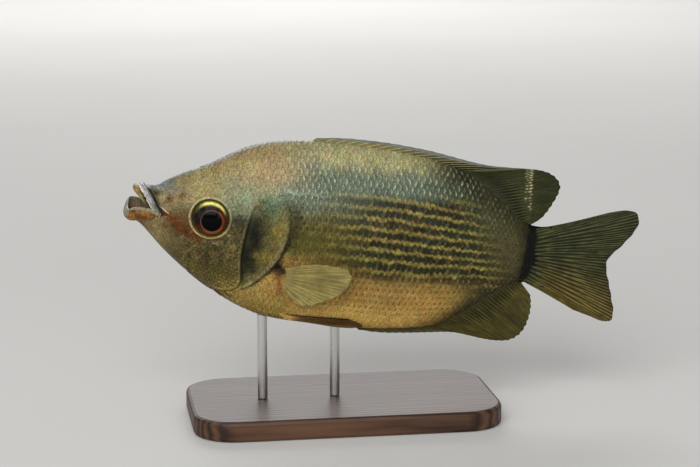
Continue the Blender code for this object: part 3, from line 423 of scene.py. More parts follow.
def line_distance(points, line):
    """Each point's distance from a line, positive on the line's left, and its share along the line."""
    best = np.full(len(points), np.inf)
    signed, share = np.zeros(len(points)), np.zeros(len(points))
    for i, (a, b) in enumerate(zip(line, line[1:])):
        way = b - a
        t = np.clip((points - a) @ way / (way @ way), 0, 1)
        off = points - (a + t[:, None] * way)
        gap = np.linalg.norm(off, axis=1)
        nearer = gap < best
        best = np.where(nearer, gap, best)
        if points.shape[1] == 2:
            turn = np.sign(way[0] * off[:, 1] - way[1] * off[:, 0])
            signed = np.where(nearer, gap * turn, signed)
        share = np.where(nearer, (i + t) / (len(line) - 1), share)
    return (signed if points.shape[1] == 2 else best), share


def eye_gap(x, z):
    """How far (x, z) lies from the middle of the eye."""
    return np.hypot(x - EYE_AT[0], z - EYE_AT[1])


def eye_matrix(side):
    """The flank's surface at the eye, in millimetres, with its z axis out of the body."""
    x, z = EYE_AT
    step = 0.5
    out = Vector((-(flank(x + step, z) - flank(x - step, z)) / (2 * step), side,
                  -(flank(x, z + step) - flank(x, z - step)) / (2 * step)))
    turn = out.normalized().to_track_quat("Z", "Y").to_matrix().to_4x4()
    return Matrix.Translation((x, side * float(flank(x, z)), z)) @ turn


def place_fish():
    """The matrix that sets the level fish where the frame holds it, found from the frame's eyes."""
    sink = (EYE_DEPTH - EYE_BULGE) / 2
    level, held = Vector(), Vector()
    for side, name in SIDES.items():
        level += eye_matrix(side) @ Vector((0, 0, -sink)) / 2
        low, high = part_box(f"eye_{name}")
        held += (low + high) / 4
    pitch = Matrix.Rotation(math.radians(PITCH_DEG), 4, "Y")
    return Matrix.Translation(held - pitch @ (level * MM)) @ pitch @ Matrix.Scale(MM, 4)


PLACE = place_fish()

# The body's girth as arc lengths round each station, to lay rows of scales by
TABLE_X = np.linspace(BODY_START, BODY_END, 291)
TABLE_SHARE = np.linspace(0, 1, 361)
table_points = body_point(TABLE_X[:, None], TABLE_SHARE[None] * math.pi)
table_steps = np.linalg.norm(np.diff(table_points, axis=1), axis=2)
TABLE_ARC = np.concatenate([np.zeros((len(TABLE_X), 1)), np.cumsum(table_steps, axis=1)], axis=1)
TABLE_GIRTH = TABLE_ARC[:, -1]
TABLE_TURN = np.array([np.interp(TABLE_SHARE * arc[-1], arc, TABLE_SHARE * math.pi) for arc in TABLE_ARC])
TABLE_REFERENCE = np.array([np.interp(-row_level(x), -points[:, 2], arc)
                            for x, points, arc in zip(TABLE_X, table_points, TABLE_ARC)])


def between_four(table, rows, columns, s, t):
    """A table's value between two rows and two columns, at shares s and t of the way between them."""
    (a, c), (b, d) = rows, columns
    return (table[a, b] * (1 - t) + table[a, d] * t) * (1 - s) + (table[c, b] * (1 - t) + table[c, d] * t) * s


def looked_up(table, x, share):
    """A table's value at a station and a share of the way round, from 0 at the back to 1 at the belly."""
    i = np.clip((x - TABLE_X[0]) / (TABLE_X[1] - TABLE_X[0]), 0, len(TABLE_X) - 1.001)
    j = np.clip(share * (len(TABLE_SHARE) - 1), 0, len(TABLE_SHARE) - 1.001)
    a, b = i.astype(int), j.astype(int)
    return between_four(table, (a, a + 1), (b, b + 1), i - a, j - b)


def turn_at(x, share):
    """The angle round the body at a share of its girth, past 0 or 1 on the other side."""
    x, share = np.broadcast_arrays(x, share)
    past_back, past_belly = share < 0, share > 1
    inside = np.where(past_back, -share, np.where(past_belly, 2 - share, share))
    turn = looked_up(TABLE_TURN, x, inside)
    return np.where(past_back, -turn, np.where(past_belly, 2 * math.pi - turn, turn))


def girth_share(x, reach):
    """The share of the girth at a reach up the flank from the reference row."""
    arc = np.interp(x, TABLE_X, TABLE_REFERENCE) - reach * row_closing(x)
    return arc / np.interp(x, TABLE_X, TABLE_GIRTH)


def level_at(x, reach):
    """The height at a reach up the flank from the reference row."""
    return body_point(x, turn_at(x, girth_share(x, reach)))[..., 2]


def row_of(x, angle):
    """The scale row, as a running number, at an angle round the body."""
    turned = np.abs((angle + math.pi) % (2 * math.pi) - math.pi)
    arc = looked_up(TABLE_ARC, x, turned / math.pi)
    return row_at_reach((np.interp(x, TABLE_X, TABLE_REFERENCE) - arc) / row_closing(x))


def unit(ways):
    """Directions brought to length 1."""
    return ways / np.maximum(np.linalg.norm(ways, axis=-1, keepdims=True), 1e-9)


def outward(x, angle):
    """Unit normals of the body's surface."""
    step, turn = 0.2, 0.01
    fore = body_point(x + step, angle) - body_point(x - step, angle)
    return unit(np.cross(fore, body_point(x, angle + turn) - body_point(x, angle - turn)))


cheek_line = along(CHEEK_EDGE, 40)


def near_cheek_line(x, z):
    """The signed gap to the cheek bone's edge and the share along it, for points on the head's sides."""
    gap, share = np.full(np.shape(x), 99.0), np.zeros(np.shape(x))
    near = (x > 20) & (x < 60)
    if near.any():
        gap[near], share[near] = line_distance(np.stack([x[near], z[near]], -1), cheek_line)
    return gap, share


mouth_groove, mouth_fold_line = along(MOUTH_GROOVE, 24), along(MOUTH_FOLD, 24)


def mouth_fold(x, z):
    """Behind the lip bar: how far (x, z) is in the groove, which is painted black as its shade, on the pale
    fold and in the red skin.
    """
    marks = np.zeros((3,) + np.shape(x))
    near = (x > 5) & (x < 17)
    if near.any():
        x, z = x[near], z[near]
        plan = np.stack([x, z], -1)
        gap, share = line_distance(plan, mouth_groove)
        groove = hump(gap, 0.0, 0.42) * ramp(share, 1.0, 0.75)
        gap, share = line_distance(plan, mouth_fold_line)
        fold = hump(gap, 0.0, 0.18) * ramp(share, 0.0, 0.15)
        above_floor = z - (0.1 + 0.45 * (x - 11))
        red = ramp(-gap, 0.1, 0.4) * ramp(above_floor, -0.4, 0.3) * zone(x, 14.8, 14.0, 8.2, 9.0)
        marks[:, near] = groove, fold, red
    return marks


def streak(x, z, start, end, width):
    """1 on the straight line between two (x, z) points, falling away over this width."""
    way = np.subtract(end, start)
    t = np.clip(((x - start[0]) * way[0] + (z - start[1]) * way[1]) / (way @ way), 0, 1)
    return hump(np.hypot(x - start[0] - t * way[0], z - start[1] - t * way[1]), 0.0, width)


def cover_share(x, z):
    """How far back over the gill cover a point lies: 0 at its front edge, 1 at its free edge."""
    front, free = cover_front(z), cover_free(z)
    return (x - front) / (free - front)


def cover_fade(z):
    """1 over the gill cover's height, falling to 0 past its lower and upper ends."""
    low, low_full, high_full, high = COVER_LEVELS
    return ramp(z, low, low_full) * ramp(z, high, high_full)


def relief(x, z):
    """How far the head's skin stands out of the plain body at (x, z)."""
    from_eye = eye_gap(x, z)
    height = 0.5 * hump(from_eye, ORBIT_RADIUS, 0.5) - 3.0 * ramp(from_eye, 6.2, 5.6)
    height += 0.22 * hump(from_eye, 8.6, 0.7) * ramp(z, 6, -2)
    gap, share = near_cheek_line(x, z)
    ridge = 0.5 * hump(gap, 0.0, 0.6) - 0.55 * hump(gap, 1.1, 0.5) + 0.18 * hump(gap, -2.6, 0.8)
    height += zone(share, 0.0, 0.12, 1.0, 0.86) * ridge
    over, past_free, fade = cover_share(x, z), x - cover_free(z), cover_fade(z)
    behind = past_free > 0.02
    height += fade * COVER_RISE * (0.6 + 0.4 * ramp(z, 4, -6)) * np.clip(over, 0, 1) ** 1.4 * ~behind
    height -= fade * 0.45 * (0.5 + 0.5 * ramp(z, 4, -6)) * behind * ramp(past_free, 3.5, 0.0)
    height += 0.12 * fade * hump(over, 0.45, 0.12) * ramp(z, -16, -8)
    for at_x, at_z, radius in NOSTRILS:
        gap = np.hypot(x - at_x, z - at_z)
        height += 0.3 * hump(gap, radius + 0.1, 0.3) - 0.5 * ramp(gap, radius, radius - 0.4)
    groove, fold, red = mouth_fold(x, z)
    at_x, at_z, along_x, along_z = AXIL_PIT
    pit = hump(x, at_x, along_x) * hump(z, at_z, along_z) * behind
    return height + 0.2 * fold - 0.6 * red - 0.5 * groove - 0.9 * pit


def scaled_zone(x, z):
    """1 where the body carries scales: not on the snout, the lips, the throat's front or round the eye."""
    front = 19.5 + 3.0 * ramp(z, 6, 14) + 2.0 * ramp(z, -6, -14)
    at_x, at_z, along_x, along_z = AXIL_BARE
    from_axil = np.hypot((x - at_x) / along_x, (z - at_z) / along_z)
    return ramp(x, front, front + 2.0) * ramp(eye_gap(x, z), 7.2, 8.4) * ramp(from_axil, 0.9, 1.2)


def linear(colour):
    """A 0 to 255 screen colour in linear light."""
    value = np.array(colour, float) / 255
    return np.where(value <= 0.04045, value / 12.92, ((value + 0.055) / 1.055) ** 2.4)


def filled(colour, shape):
    """One colour for each point of an array of this shape."""
    return np.broadcast_to(linear(colour), tuple(shape) + (3,))


def blend(tones, *layers):
    """tones under layers, each a colour and its weight at each point.

    A layer's colour is a screen colour, an array of tones, or a number that the tones below are scaled by.
    """
    for colour, weight in layers:
        if isinstance(colour, tuple):
            target = linear(colour)
        else:
            target = tones * colour if np.isscalar(colour) else colour
        tones = tones + (target - tones) * np.asarray(weight)[..., None]
    return tones


def stripe_zone(x, z):
    """Where the flank is striped: strongest behind the middle, gone near the gill cover, back and belly."""
    last = 125.0 - 0.55 * z
    return ramp(x, 54, 88) * zone(z, 18, 13, -19, -10) * ramp(x, last + 8, last - 8)


# How many lumps a cloud has each way before it repeats
CLOUD_CELLS = 64


def cloud(a, b, size, seed):
    """Smooth random unevenness from 0 to 1 over a plane, with lumps of about this size."""
    table = np.random.default_rng(seed).random((CLOUD_CELLS, CLOUD_CELLS))
    i, j = np.asarray(a) / size, np.asarray(b) / size
    k, m = np.floor(i).astype(int), np.floor(j).astype(int)
    rows, columns = ((at % CLOUD_CELLS, (at + 1) % CLOUD_CELLS) for at in (k, m))
    return between_four(table, rows, columns, ramp(i - k, 0, 1), ramp(j - m, 0, 1))


def wander(x, z):
    """(x, z) pushed about a little, so that patches of colour have uneven edges."""
    return [at + 2.2 * (cloud(x, z, 2.6, seed) - 0.5) + 0.9 * (cloud(x, z, 0.9, seed + 1) - 0.5)
            for at, seed in ((x, 1), (z, 3))]


def body_tones(x, z):
    """The body's ground colours at (x, z), before stripes and the marks on single scales."""
    near_x, near_z = wander(x, z)
    tones = blend(filled(UPPER_FLANK, np.shape(x)),
                  *((colour, zone(near_z, *along_z) * zone(near_x, *along_x))
                    for colour, along_x, along_z in BODY_LAYERS))
    below_back, above_belly = back_line(x) - near_z, near_z - belly_line(x)
    tones = blend(tones, (FIN_FOOT, 0.85 * ramp(below_back, 9.0, 2.5) * ramp(near_x, 96, 114)),
                  (FIN_FOOT, 0.85 * ramp(above_belly, 7.0, 1.5) * ramp(near_x, 98, 118)))
    tones = head_tones(tones, x, z, near_x, near_z)
    band = 140.6 + 0.06 * z
    first, last, level = LATERAL_LINE
    off = z - level - 0.3 * np.sin(x * 0.75)
    on_line = zone(x, first, first + 2, last, last - 8)
    tones = blend(tones, (SNOUT_BLUE, 0.5 * ramp(back_line(x) - z, 1.3, 0.2) * ramp(x, 66, 50)),
                  (TAIL_BAND, 0.5 * ramp(near_x, band - 6.0, band - 1.5)),
                  (TAIL_BAND, ramp(x, band - 2.4, band - 1.2)),
                  # The lateral line: a line of painted shade with a painted highlight above it, standing for
                  # its groove
                  (GROOVE_SHADE, 0.5 * on_line * hump(off, -0.25, 0.36) * cloud(x, z, 1.6, 15)),
                  (SILVER_AND_GLINT, 0.3 * on_line * hump(off, 0.65, 0.4)))
    grain = 0.4 - 0.15 * ramp(z, -6, -14) * ramp(x, 50, 60)
    uneven = 1 + grain * (cloud(x, z, 0.6, 5) - 0.5) + 0.2 * (cloud(x, z, 6.0, 6) - 0.5)
    return tones * uneven[..., None]


def head_tones(tones, x, z, near_x, near_z):
    """The head's ground colours laid over the body's: edges lie at (x, z), and patches wander from there."""
    head = ramp(x, 58, 50) * ramp(x - cover_free(z), 2.0, 0.0)
    forehead = 0.35 * ramp(near_x, 54, 42) + 0.65 * ramp(near_x, 36, 24)
    on_cheek = head * zone(near_z, 2, -3, -22, -18) * zone(near_x, 16, 22, 42, 39)
    tones = blend(tones, (FOREHEAD, forehead * ramp(near_z, 2, 9)),
                  (SNOUT, ramp(near_x, 24, 17)),
                  (CHEEK, head * ramp(near_z, 7, 1) * ramp(near_x, 11, 19)),
                  (CHEEK_DARK, 0.6 * on_cheek * ramp(cloud(x, z, 1.9, 18), 0.45, 0.8)),
                  (CHEEK_LINE, 0.45 * on_cheek * hump(cloud(near_x, near_z, 1.3, 19), 0.5, 0.06)),
                  (THROAT, ramp(near_z, -11, -16) * ramp(near_x, 44, 36)),
                  (BREAST, ramp(near_z, -16, -23) * zone(near_x, 30, 42, 66, 54)))
    over = cover_share(x, z)
    on_cover = cover_fade(z) * zone(over, -0.1, 0.05, 1.03, 0.98)
    held = {"cover": on_cover, "behind": ramp(x - cover_free(z), 0.0, 0.4), "any": 1.0}
    patches = [(colour, strength * held[place] * hump(near_x, at_x, along_x) * hump(near_z, at_z, along_z))
               for colour, strength, at_x, at_z, along_x, along_z, place in HEAD_PATCHES]
    streaks = [(colour, strength * streak(near_x, near_z, start, end, width))
               for colour, strength, start, end, width in RED_STREAKS]
    tones = blend(tones, (COVER_LIGHT, 0.8 * on_cover), *patches, *streaks,
                  (0.55, 0.7 * on_cover * ramp(cloud(x, z, 1.1, 20), 0.5, 0.8)),
                  (1.5, 0.6 * on_cover * ramp(cloud(x, z, 0.8, 21), 0.6, 0.85)))
    return edge_tones(tones, x, z)


def edge_tones(tones, x, z):
    """The head's fine lines: the edges of gill cover and cheek bone, with painted shade in their grooves and
    a painted highlight on the bone's ridge, the eye's rim and the mouth's fold.
    """
    ends, past_front, past_free = cover_fade(z), x - cover_front(z), x - cover_free(z)
    gap, share = near_cheek_line(x, z)
    from_eye = eye_gap(x, z)
    on_rim = 0.85 * hump(from_eye, 6.75, 0.19)
    groove, fold, red = mouth_fold(x, z)
    # Painted shade in the groove at the gill cover's front edge and under its free edge
    return blend(tones, (GROOVE_SHADE, 0.85 * ends * hump(past_front, -0.2, 0.45) * zone(z, 6, 0, -20, -14)),
                 (GROOVE_SHADE, (0.3 + 0.55 * ramp(z, 2, -6)) * ends * hump(past_free, 0.5, 0.6)),
                 (PALE_EDGE_AND_HIGHLIGHT, 0.4 * ends * hump(past_free, -0.9, 0.8) * ramp(z, 8, -6)),
                 # A painted highlight on the front of the cheek bone's ridge
                 (PALE_EDGE_AND_HIGHLIGHT, 0.3 * ramp(share, 0.1, 0.4) * hump(gap, -0.3, 0.4)),
                 # Painted shade in the groove behind the cheek bone's ridge
                 (GROOVE_SHADE, 0.6 * zone(share, 0.1, 0.3, 0.9, 0.6) * hump(gap, 0.7, 0.5)),
                 (COVER_DARK, 0.5 * zone(share, 0.05, 0.2, 0.6, 0.45) * hump(gap, 1.8, 1.2)),
                 (EYE_RIM, on_rim * (0.6 + 0.4 * ramp(z - x, -30, -18))),
                 (EYE_RIM_LOW, on_rim * ramp(z - EYE_AT[1], -1, -4)),
                 (EYE_GREEN, 0.85 * ramp(from_eye, 6.5, 6.3)),
                 (MOUTH_RED, red),
                 # Painted shade in the groove behind the lip bar
                 (LIP_GROOVE_SHADE, np.clip(1.7 * groove, 0, 1)),
                 (LIP_EDGE, 0.45 * fold))


def stripes(x, z, row):
    """The flank's stripes: a wavy light line along every second row of scales, on a dark ground."""
    waver = 0.14 * np.sin(x * 3.02 + 2.4 * np.round(row / 2)) + 0.55 * (cloud(x, z, 2.2, 7) - 0.5)
    waver += 0.3 * (cloud(x, z, 0.8, 16) - 0.5)
    from_line = np.abs(row + waver - 2 * np.round((row + waver) / 2))
    dark = blend(filled(STRIPE_DARK, np.shape(x)),
                 (STRIPE_GREEN, ramp(cloud(x, z, 4.5, 8), 0.5, 0.8)),
                 (STRIPE_BROWN, ramp(cloud(x, z, 2.0, 9), 0.55, 0.9)),
                 (STRIPE_GREY, ramp(cloud(x, z, 0.8, 17), 0.55, 1.0)))
    light = blend(filled(STRIPE_LIGHT, np.shape(x)), (STRIPE_WARM, ramp(cloud(x, z, 1.9, 10), 0.45, 0.85)))
    light = light * (0.4 + 1.1 * cloud(x, z, 0.6, 11))[..., None]
    return blend(dark, (light, 0.95 * ramp(from_line, 0.5, 0.2)))


def skin_tones(x, z, row):
    """The skin's colours, with the same stripes as the scales over it."""
    return blend(body_tones(x, z), (stripes(x, z, row), stripe_zone(x, z)))


def scale_tones(x, z, row, showing, across, luck):
    """Colours over each scale, at its points' own (x, z) and rows.

    showing runs from 0, where the scale comes out from under others, to 1 at its free edge; across is
    -1 to 1 over its height, and luck is a random number for each scale.
    """
    hue = 0.05 * np.stack([np.sin(luck * 91), np.sin(luck * 57 + 1), np.sin(luck * 133 + 2)], -1)
    tones = body_tones(x, z) * (1 + 0.16 * (luck[..., None] - 0.5) + hue)
    striped_here = stripe_zone(x, z)
    plain = 1 - striped_here
    upper = ramp(z, 2, 10) * (1 - 0.65 * ramp(x, 110, 124)) * zone(x, 138, 130, 48, 60) * plain
    # Silvery dashes on the upper scales: partly the scales' own silver, partly painted glints
    glint_dash = hump(showing - 0.7 * (luck * 53 % 1 - 0.4) * across, 0.7, 0.09) * hump(across, 0.0, 0.38)
    lower = zone(z, -8, -13, -31, -23) * ramp(x, 50, 66)
    dot = hump(showing - 0.45 * across, 0.5, 0.22) * hump(across, 0.0, 0.3)
    middle = zone(z, -15, -8, 12, 6) * ramp(x, 52, 58) * plain * (1 - 0.8 * ramp(x, 100, 115))
    middle = middle * (0.6 + 0.4 * ramp(z, -5, 3))
    cheek = ramp(x, 42, 38) * ramp(z, 10, 4) * ramp(x, 17, 21)
    pale = (ramp(z, 14, 20) * ramp(x, 66, 54) + ramp(z, -15, -20) * ramp(x, 64, 54)) * ramp(x, 20, 26)
    fleck = hump(showing, 0.75, 0.2) * hump(across, 0.0, 0.35)
    return blend(tones, (0.66, 0.8 * upper * (1 - glint_dash)),
                 (SILVER_AND_GLINT, upper * glint_dash * (0.2 + 0.8 * (luck * 11 % 1) ** 1.7) * ramp(z, 29, 23)),
                 (SCALE_GOLD, 0.5 * upper * glint_dash * luck * ramp(z, 23, 28)),
                 (striped_scales(x, z, row, showing, across, luck), striped_here),
                 (SCALE_DOT, lower * dot * (0.55 + 0.45 * luck)),
                 (SCALE_GOLD, 0.5 * lower * hump(showing, 0.95, 0.14) * hump(across, 0.1, 0.3) * luck),
                 (STRIPE_DARK, middle * hump(showing, 0.4, 0.3) * hump(across, 0.0, 0.4)
                  * ramp(luck, 0, 0.7)),
                 (STRIPE_LIGHT, 0.5 * middle * ramp(showing, 0.65, 0.9) * ramp(luck, 0.3, 1.0)),
                 (STRIPE_DARK, 0.7 * cheek * ramp(np.abs(across), 0.3, 0.6) * ramp(luck, 0.1, 0.8)),
                 (STRIPE_LIGHT, 0.3 * cheek * hump(showing, 0.7, 0.3) * ramp(luck, 0.6, 0.2)),
                 (SCALE_GOLD, 0.2 * pale * fleck * ramp(luck, 0.3, 0.9)),
                 (0.7, 0.5 * pale * fleck * ramp(luck, 0.3, 0.0)))


def striped_scales(x, z, row, showing, across, luck):
    """The stripes as scales carry them, with lighter seams and a few painted glints."""
    other_luck = luck * 37 % 1
    seam = hump(showing - 0.4 * across, 0.85, 0.13) * luck
    # A few painted glints on the striped scales
    glint = hump(showing - (other_luck - 0.3) * across, 0.6, 0.1) * hump(across, 0.0, 0.4)
    striped = blend(stripes(x, z, row), (STRIPE_LIGHT, 0.3 * seam)) * (0.75 + 0.5 * other_luck)[..., None]
    return blend(striped, (SILVER_AND_GLINT, 0.16 * glint * luck ** 3))


def round_angles(count):
    """Evenly spaced angles once round a circle."""
    return np.arange(count) * 2 * math.pi / count


def ring_quads(rings, around):
    """The quads between closed rings of points numbered ring by ring."""
    i, j = np.meshgrid(np.arange(rings - 1), np.arange(around), indexing="ij")
    here, there = i * around + j, i * around + (j + 1) % around
    return np.stack([here, there, there + around, here + around], -1).reshape(-1, 4)


def grid_quads(rows, columns):
    """The quads of a grid of points numbered row by row, and the numbers of the points round its rim."""
    number = np.arange(rows * columns).reshape(rows, columns)
    quads = np.stack([number[:-1, :-1], number[:-1, 1:], number[1:, 1:], number[1:, :-1]], -1)
    rim = np.concatenate([number[0], number[1:, -1], number[-1, -2::-1], number[-2:0:-1, 0]])
    return quads.reshape(-1, 4), rim


def moved(points, matrix):
    """Points moved by a 4 by 4 matrix."""
    matrix = np.array(matrix)
    return np.asarray(points) @ matrix[:3, :3].T + matrix[:3, 3]


def new_object(name, data):
    """A new object in the scene."""
    obj = bpy.data.objects.new(name, data)
    bpy.context.scene.collection.objects.link(obj)
    return obj


def faced_out(mesh, merged=0.0):
    """Turns a mesh's faces outwards, once points closer than this are merged."""
    work = bmesh.new()
    work.from_mesh(mesh)
    if merged:
        bmesh.ops.remove_doubles(work, verts=work.verts, dist=merged)
    bmesh.ops.recalc_face_normals(work, faces=work.faces)
    work.to_mesh(mesh)
    work.free()


def mesh_object(name, points, faces, tones, uv=None):
    """A piece from level points in millimetres, with a colour for each point and faces of 3 or 4 corners."""
    placed = moved(points, PLACE)
    mesh = bpy.data.meshes.new(name)
    mesh.vertices.add(len(placed))
    mesh.vertices.foreach_set("co", placed.astype(np.float32).ravel())
    corners = np.concatenate([np.asarray(f, np.int32).ravel() for f in faces])
    sizes = np.concatenate([np.full(len(f), np.shape(f)[1]) for f in faces])
    mesh.loops.add(len(corners))
    mesh.loops.foreach_set("vertex_index", corners)
    mesh.polygons.add(len(sizes))
    mesh.polygons.foreach_set("loop_start", np.concatenate([[0], np.cumsum(sizes)[:-1]]).astype(np.int32))
    mesh.update(calc_edges=True)
    attribute = mesh.color_attributes.new("Tone", "FLOAT_COLOR", "POINT")
    rgba = np.ones((len(placed), 4), np.float32)
    rgba[:, :3] = tones
    attribute.data.foreach_set("color", rgba.ravel())
    if uv is not None:
        layer = mesh.uv_layers.new(name="OFBake")
        layer.data.foreach_set("uv", uv[corners].astype(np.float32).ravel())
    mesh.shade_smooth()
    return new_object(name, mesh)


def finished(piece, slot, material, *replaced):
    """Puts a piece on the model's body, with its finish and the solids that it stands for."""
    piece.data.materials.append(material)
    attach(piece, "root")
    if replaced:
        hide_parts(*replaced)
    return piece


def loft(name, rings):
    """A closed helper body through rings of points, in millimetres."""
    count, around = rings.shape[:2]
    caps = [list(range(around))[::-1], list(range((count - 1) * around, count * around))]
    mesh = bpy.data.meshes.new(name)
    mesh.from_pydata(rings.reshape(-1, 3).tolist(), [], ring_quads(count, around).tolist() + caps)
    faced_out(mesh)
    return new_object(name, mesh)


def tube(name, points, radii, around=20):
    """A closed round bar along points."""
    way = unit(np.gradient(points, axis=0))
    side = unit(np.cross(way, (0.0, 0.0, 1.0)))
    up = np.cross(side, way)
    angle = round_angles(around)[None, :, None]
    ring = np.cos(angle) * side[:, None] + np.sin(angle) * up[:, None]
    return loft(name, points[:, None] + ring * np.asarray(radii)[:, None, None])


def combine(obj, others, operation):
    """Joins helper meshes to obj, or cuts them from it, applies that and removes them."""
    for other in others:
        boolean = obj.modifiers.new(operation.lower(), "BOOLEAN")
        boolean.object = other
        boolean.operation = operation
        boolean.solver = "MANIFOLD"
    return applied(obj, others)


def applied(obj, others=()):
    """Makes obj's modifiers part of its mesh and removes the helpers that they used."""
    bpy.context.view_layer.update()
    mesh = bpy.data.meshes.new_from_object(obj.evaluated_get(bpy.context.evaluated_depsgraph_get()))
    obj.modifiers.clear()
    obj.data = mesh
    for other in others:
        bpy.data.objects.remove(other)
    return obj


def lip_curve(rows, count):
    """A lip's centre line from its right corner round to its left one, and the shares from its middle."""
    turn = np.linspace(-1, 1, count)
    share = np.abs(turn)
    x, y, z = (smooth([(row[0], row[axis]) for row in rows])(share) for axis in (1, 2, 3))
    return np.stack([x, np.sign(turn) * y, z], -1), share


def jaw_lip():
    """The lower lip, a curled wall round the front of the jaw that is tallest in the middle."""
    path, share = lip_curve(JAW_LIP, JAW_POINTS)
    heading = np.gradient(path, axis=0)
    side_way = unit(np.stack([heading[:, 1], -heading[:, 0]], -1))
    side_way *= np.where(side_way[:, :1] > 0, -1, 1)
    top, bottom = smooth(JAW_LIP_TOP)(np.linspace(-1, 1, len(share))), smooth(JAW_LIP_BOTTOM)(share)
    thick, bulge = smooth(JAW_LIP_THICK)(share), smooth(JAW_LIP_BULGE)(share)
    angle = round_angles(28)
    up, side = (np.sign(v) * np.abs(v) ** LIP_BLUNT for v in (np.cos(angle), np.sin(angle)))
    height = (top + bottom)[:, None] / 2 + (top - bottom)[:, None] / 2 * up
    curl = np.where(up > 0, 0.5, 1.0) * up * up
    out = thick[:, None] * side * (1 - JAW_LIP_TAPER * np.clip(up, 0, 1)) + bulge[:, None] * (0.5 - curl)
    plan = path[:, None, :2] + side_way[:, None] * out[..., None]
    return loft("jaw_lip", np.concatenate([plan, height[..., None]], -1))


def mouth_piece():
    """The snout, jaw and lips as one even mesh, open behind: points, their normals, faces and the rim."""
    stations = np.linspace(BODY_START, MOUTH_END + 4, 60)
    snout = loft("snout", body_point(stations[:, None], round_angles(96)))
    far, over, across = -12.0, 6.0, (0, 20, 0)
    lean = (GAPE_CORNER[0] - SNOUT_TOP[0]) / (GAPE_CORNER[1] - SNOUT_TOP[1])
    outline = [(SNOUT_TOP[0] + lean * over, SNOUT_TOP[1] + over), GAPE_CORNER, JAW_FLOOR, (far, JAW_FLOOR[1]),
               (far, SNOUT_TOP[1] + over)]
    ring = np.array([(x, 0, z) for x, z in outline], float)
    gape = loft("gape", np.array([ring - across, ring + across]))
    angle = np.linspace(0, math.pi, 20)
    hollow = np.stack(np.broadcast_arrays(THROAT_X - THROAT_REACH * np.cos(angle), 0.0, THROAT_Z), -1)
    combine(snout, [gape, tube("throat", hollow, 0.05 + THROAT_RADIUS * np.sin(angle))], "DIFFERENCE")
    (roll, share), (bar, _) = lip_curve(LIP_ROLL, LIP_POINTS), lip_curve(LIP_BAR, LIP_POINTS)
    back, down, inward = LIP_SKIN_SHIFT
    web = bar * (1, inward, 1) + (back, 0, down)
    combine(snout, [tube("web", web, LIP_SKIN_RADIUS + 0.35 * ramp(share, 0.8, 1.0)),
                    tube("bar", bar, smooth(LIP_BAR_RADIUS)(share)),
                    tube("roll", roll, smooth(LIP_ROLL_RADIUS)(share)), jaw_lip()], "UNION")
    remesh = snout.modifiers.new("even", "REMESH")
    remesh.mode = "VOXEL"
    remesh.voxel_size = MOUTH_VOXEL
    applied(snout)
    work = bmesh.new()
    work.from_mesh(snout.data)
    bpy.data.objects.remove(snout)
    for _ in range(MOUTH_SMOOTHINGS):
        bmesh.ops.smooth_vert(work, verts=work.verts, factor=0.5, use_axis_x=True, use_axis_y=True,
                              use_axis_z=True)
    bmesh.ops.bisect_plane(work, geom=work.verts[:] + work.edges[:] + work.faces[:], dist=1e-5,
                           plane_co=(MOUTH_END, 0, 0), plane_no=(1, 0, 0), clear_outer=True)
    bmesh.ops.triangulate(work, faces=[f for f in work.faces if len(f.verts) > 4])
    work.normal_update()
    work.verts.index_update()
    points = np.array([v.co for v in work.verts])
    normals = np.array([v.normal for v in work.verts])
    faces = [[v.index for v in f.verts] for f in work.faces]
    rim = np.array([v.index for v in work.verts if v.is_boundary])
    work.free()
    return points, normals, faces, rim


def bar_tones(points, bar, at):
    """The lip bar's colours: lilac above, grey-green below, a white front edge and a dark streak behind."""
    nearest = np.clip(np.round(at * (len(bar) - 1)).astype(int), 0, len(bar) - 1)
    way = unit(np.gradient(bar, axis=0))
    front = unit(np.array([-1.0, 0, 0]) + way[:, :1] * way)
    off = points - bar[nearest]
    facing = (off * front[nearest]).sum(1) / np.maximum(np.linalg.norm(off, axis=1), 0.1)
    z = points[:, 2]
    return blend(filled(LIP_GREY, z.shape), (LIP_LILAC, ramp(z, 3, 7)),
                 (LIP_STREAK, 0.6 * hump(facing, 0.3, 0.18) * ramp(cloud(z, at * 60, 1.4, 12), 0.2, 0.6)),
                 (LIP_STREAK, 0.35 * ramp(facing, -0.4, -0.8)),
                 (LIP_EDGE, 0.85 * ramp(facing, 0.78, 0.92)))


def jaw_tones(x, y, z):
    """The lower lip's colours, with a pale rim and a grooved inside, and how far each point lies on it."""
    path, _ = lip_curve(JAW_LIP, TONE_POINTS)
    gap, at = line_distance(np.stack([x, y], -1), path[:, :2])
    turn = 2 * at - 1
    top, bottom = smooth(JAW_LIP_TOP)(turn), smooth(JAW_LIP_BOTTOM)(np.abs(turn))
    inner = blend(filled(JAW_INSIDE, x.shape), (JAW_GROOVE, 0.5 + 0.5 * np.sin(at * 2 * math.pi * 44)),
                  # Painted shade, deeper down inside the lower lip
                  (MOUTH_SHADE, 0.45 * ramp(top - z, 2.5, 5.5)))
    outer = blend(filled(JAW_OUTSIDE, x.shape), (JAW_BLOTCH, ramp(cloud(at * 40, z, 1.5, 14), 0.45, 0.8)),
                  (LIP_PALE, 0.65 * ramp(x, 1.8, 0.9) * ramp(z, bottom + 0.8, bottom + 2.4)))
    lip = blend(inner, (outer, ramp(gap * np.sign(gap[np.argmin(x)]), -0.2, 0.3)),
                (LIP_GREY, 0.7 * ramp(z, top - 1.3, top - 0.5)),
                (LIP_PALE, 0.8 * ramp(z, top - 0.6, top - 0.2) * ramp(turn, -0.2, 0.0)),
                (LIP_EDGE, 0.85 * ramp(z, top - 0.36, top - 0.12) * zone(turn, -0.52, -0.4, 0.0, -0.12)))
    return lip, ramp(np.abs(gap), 2.2, 1.6) * zone(z, bottom - 0.6, bottom, top + 0.5, top + 0.1) * (x < 12)


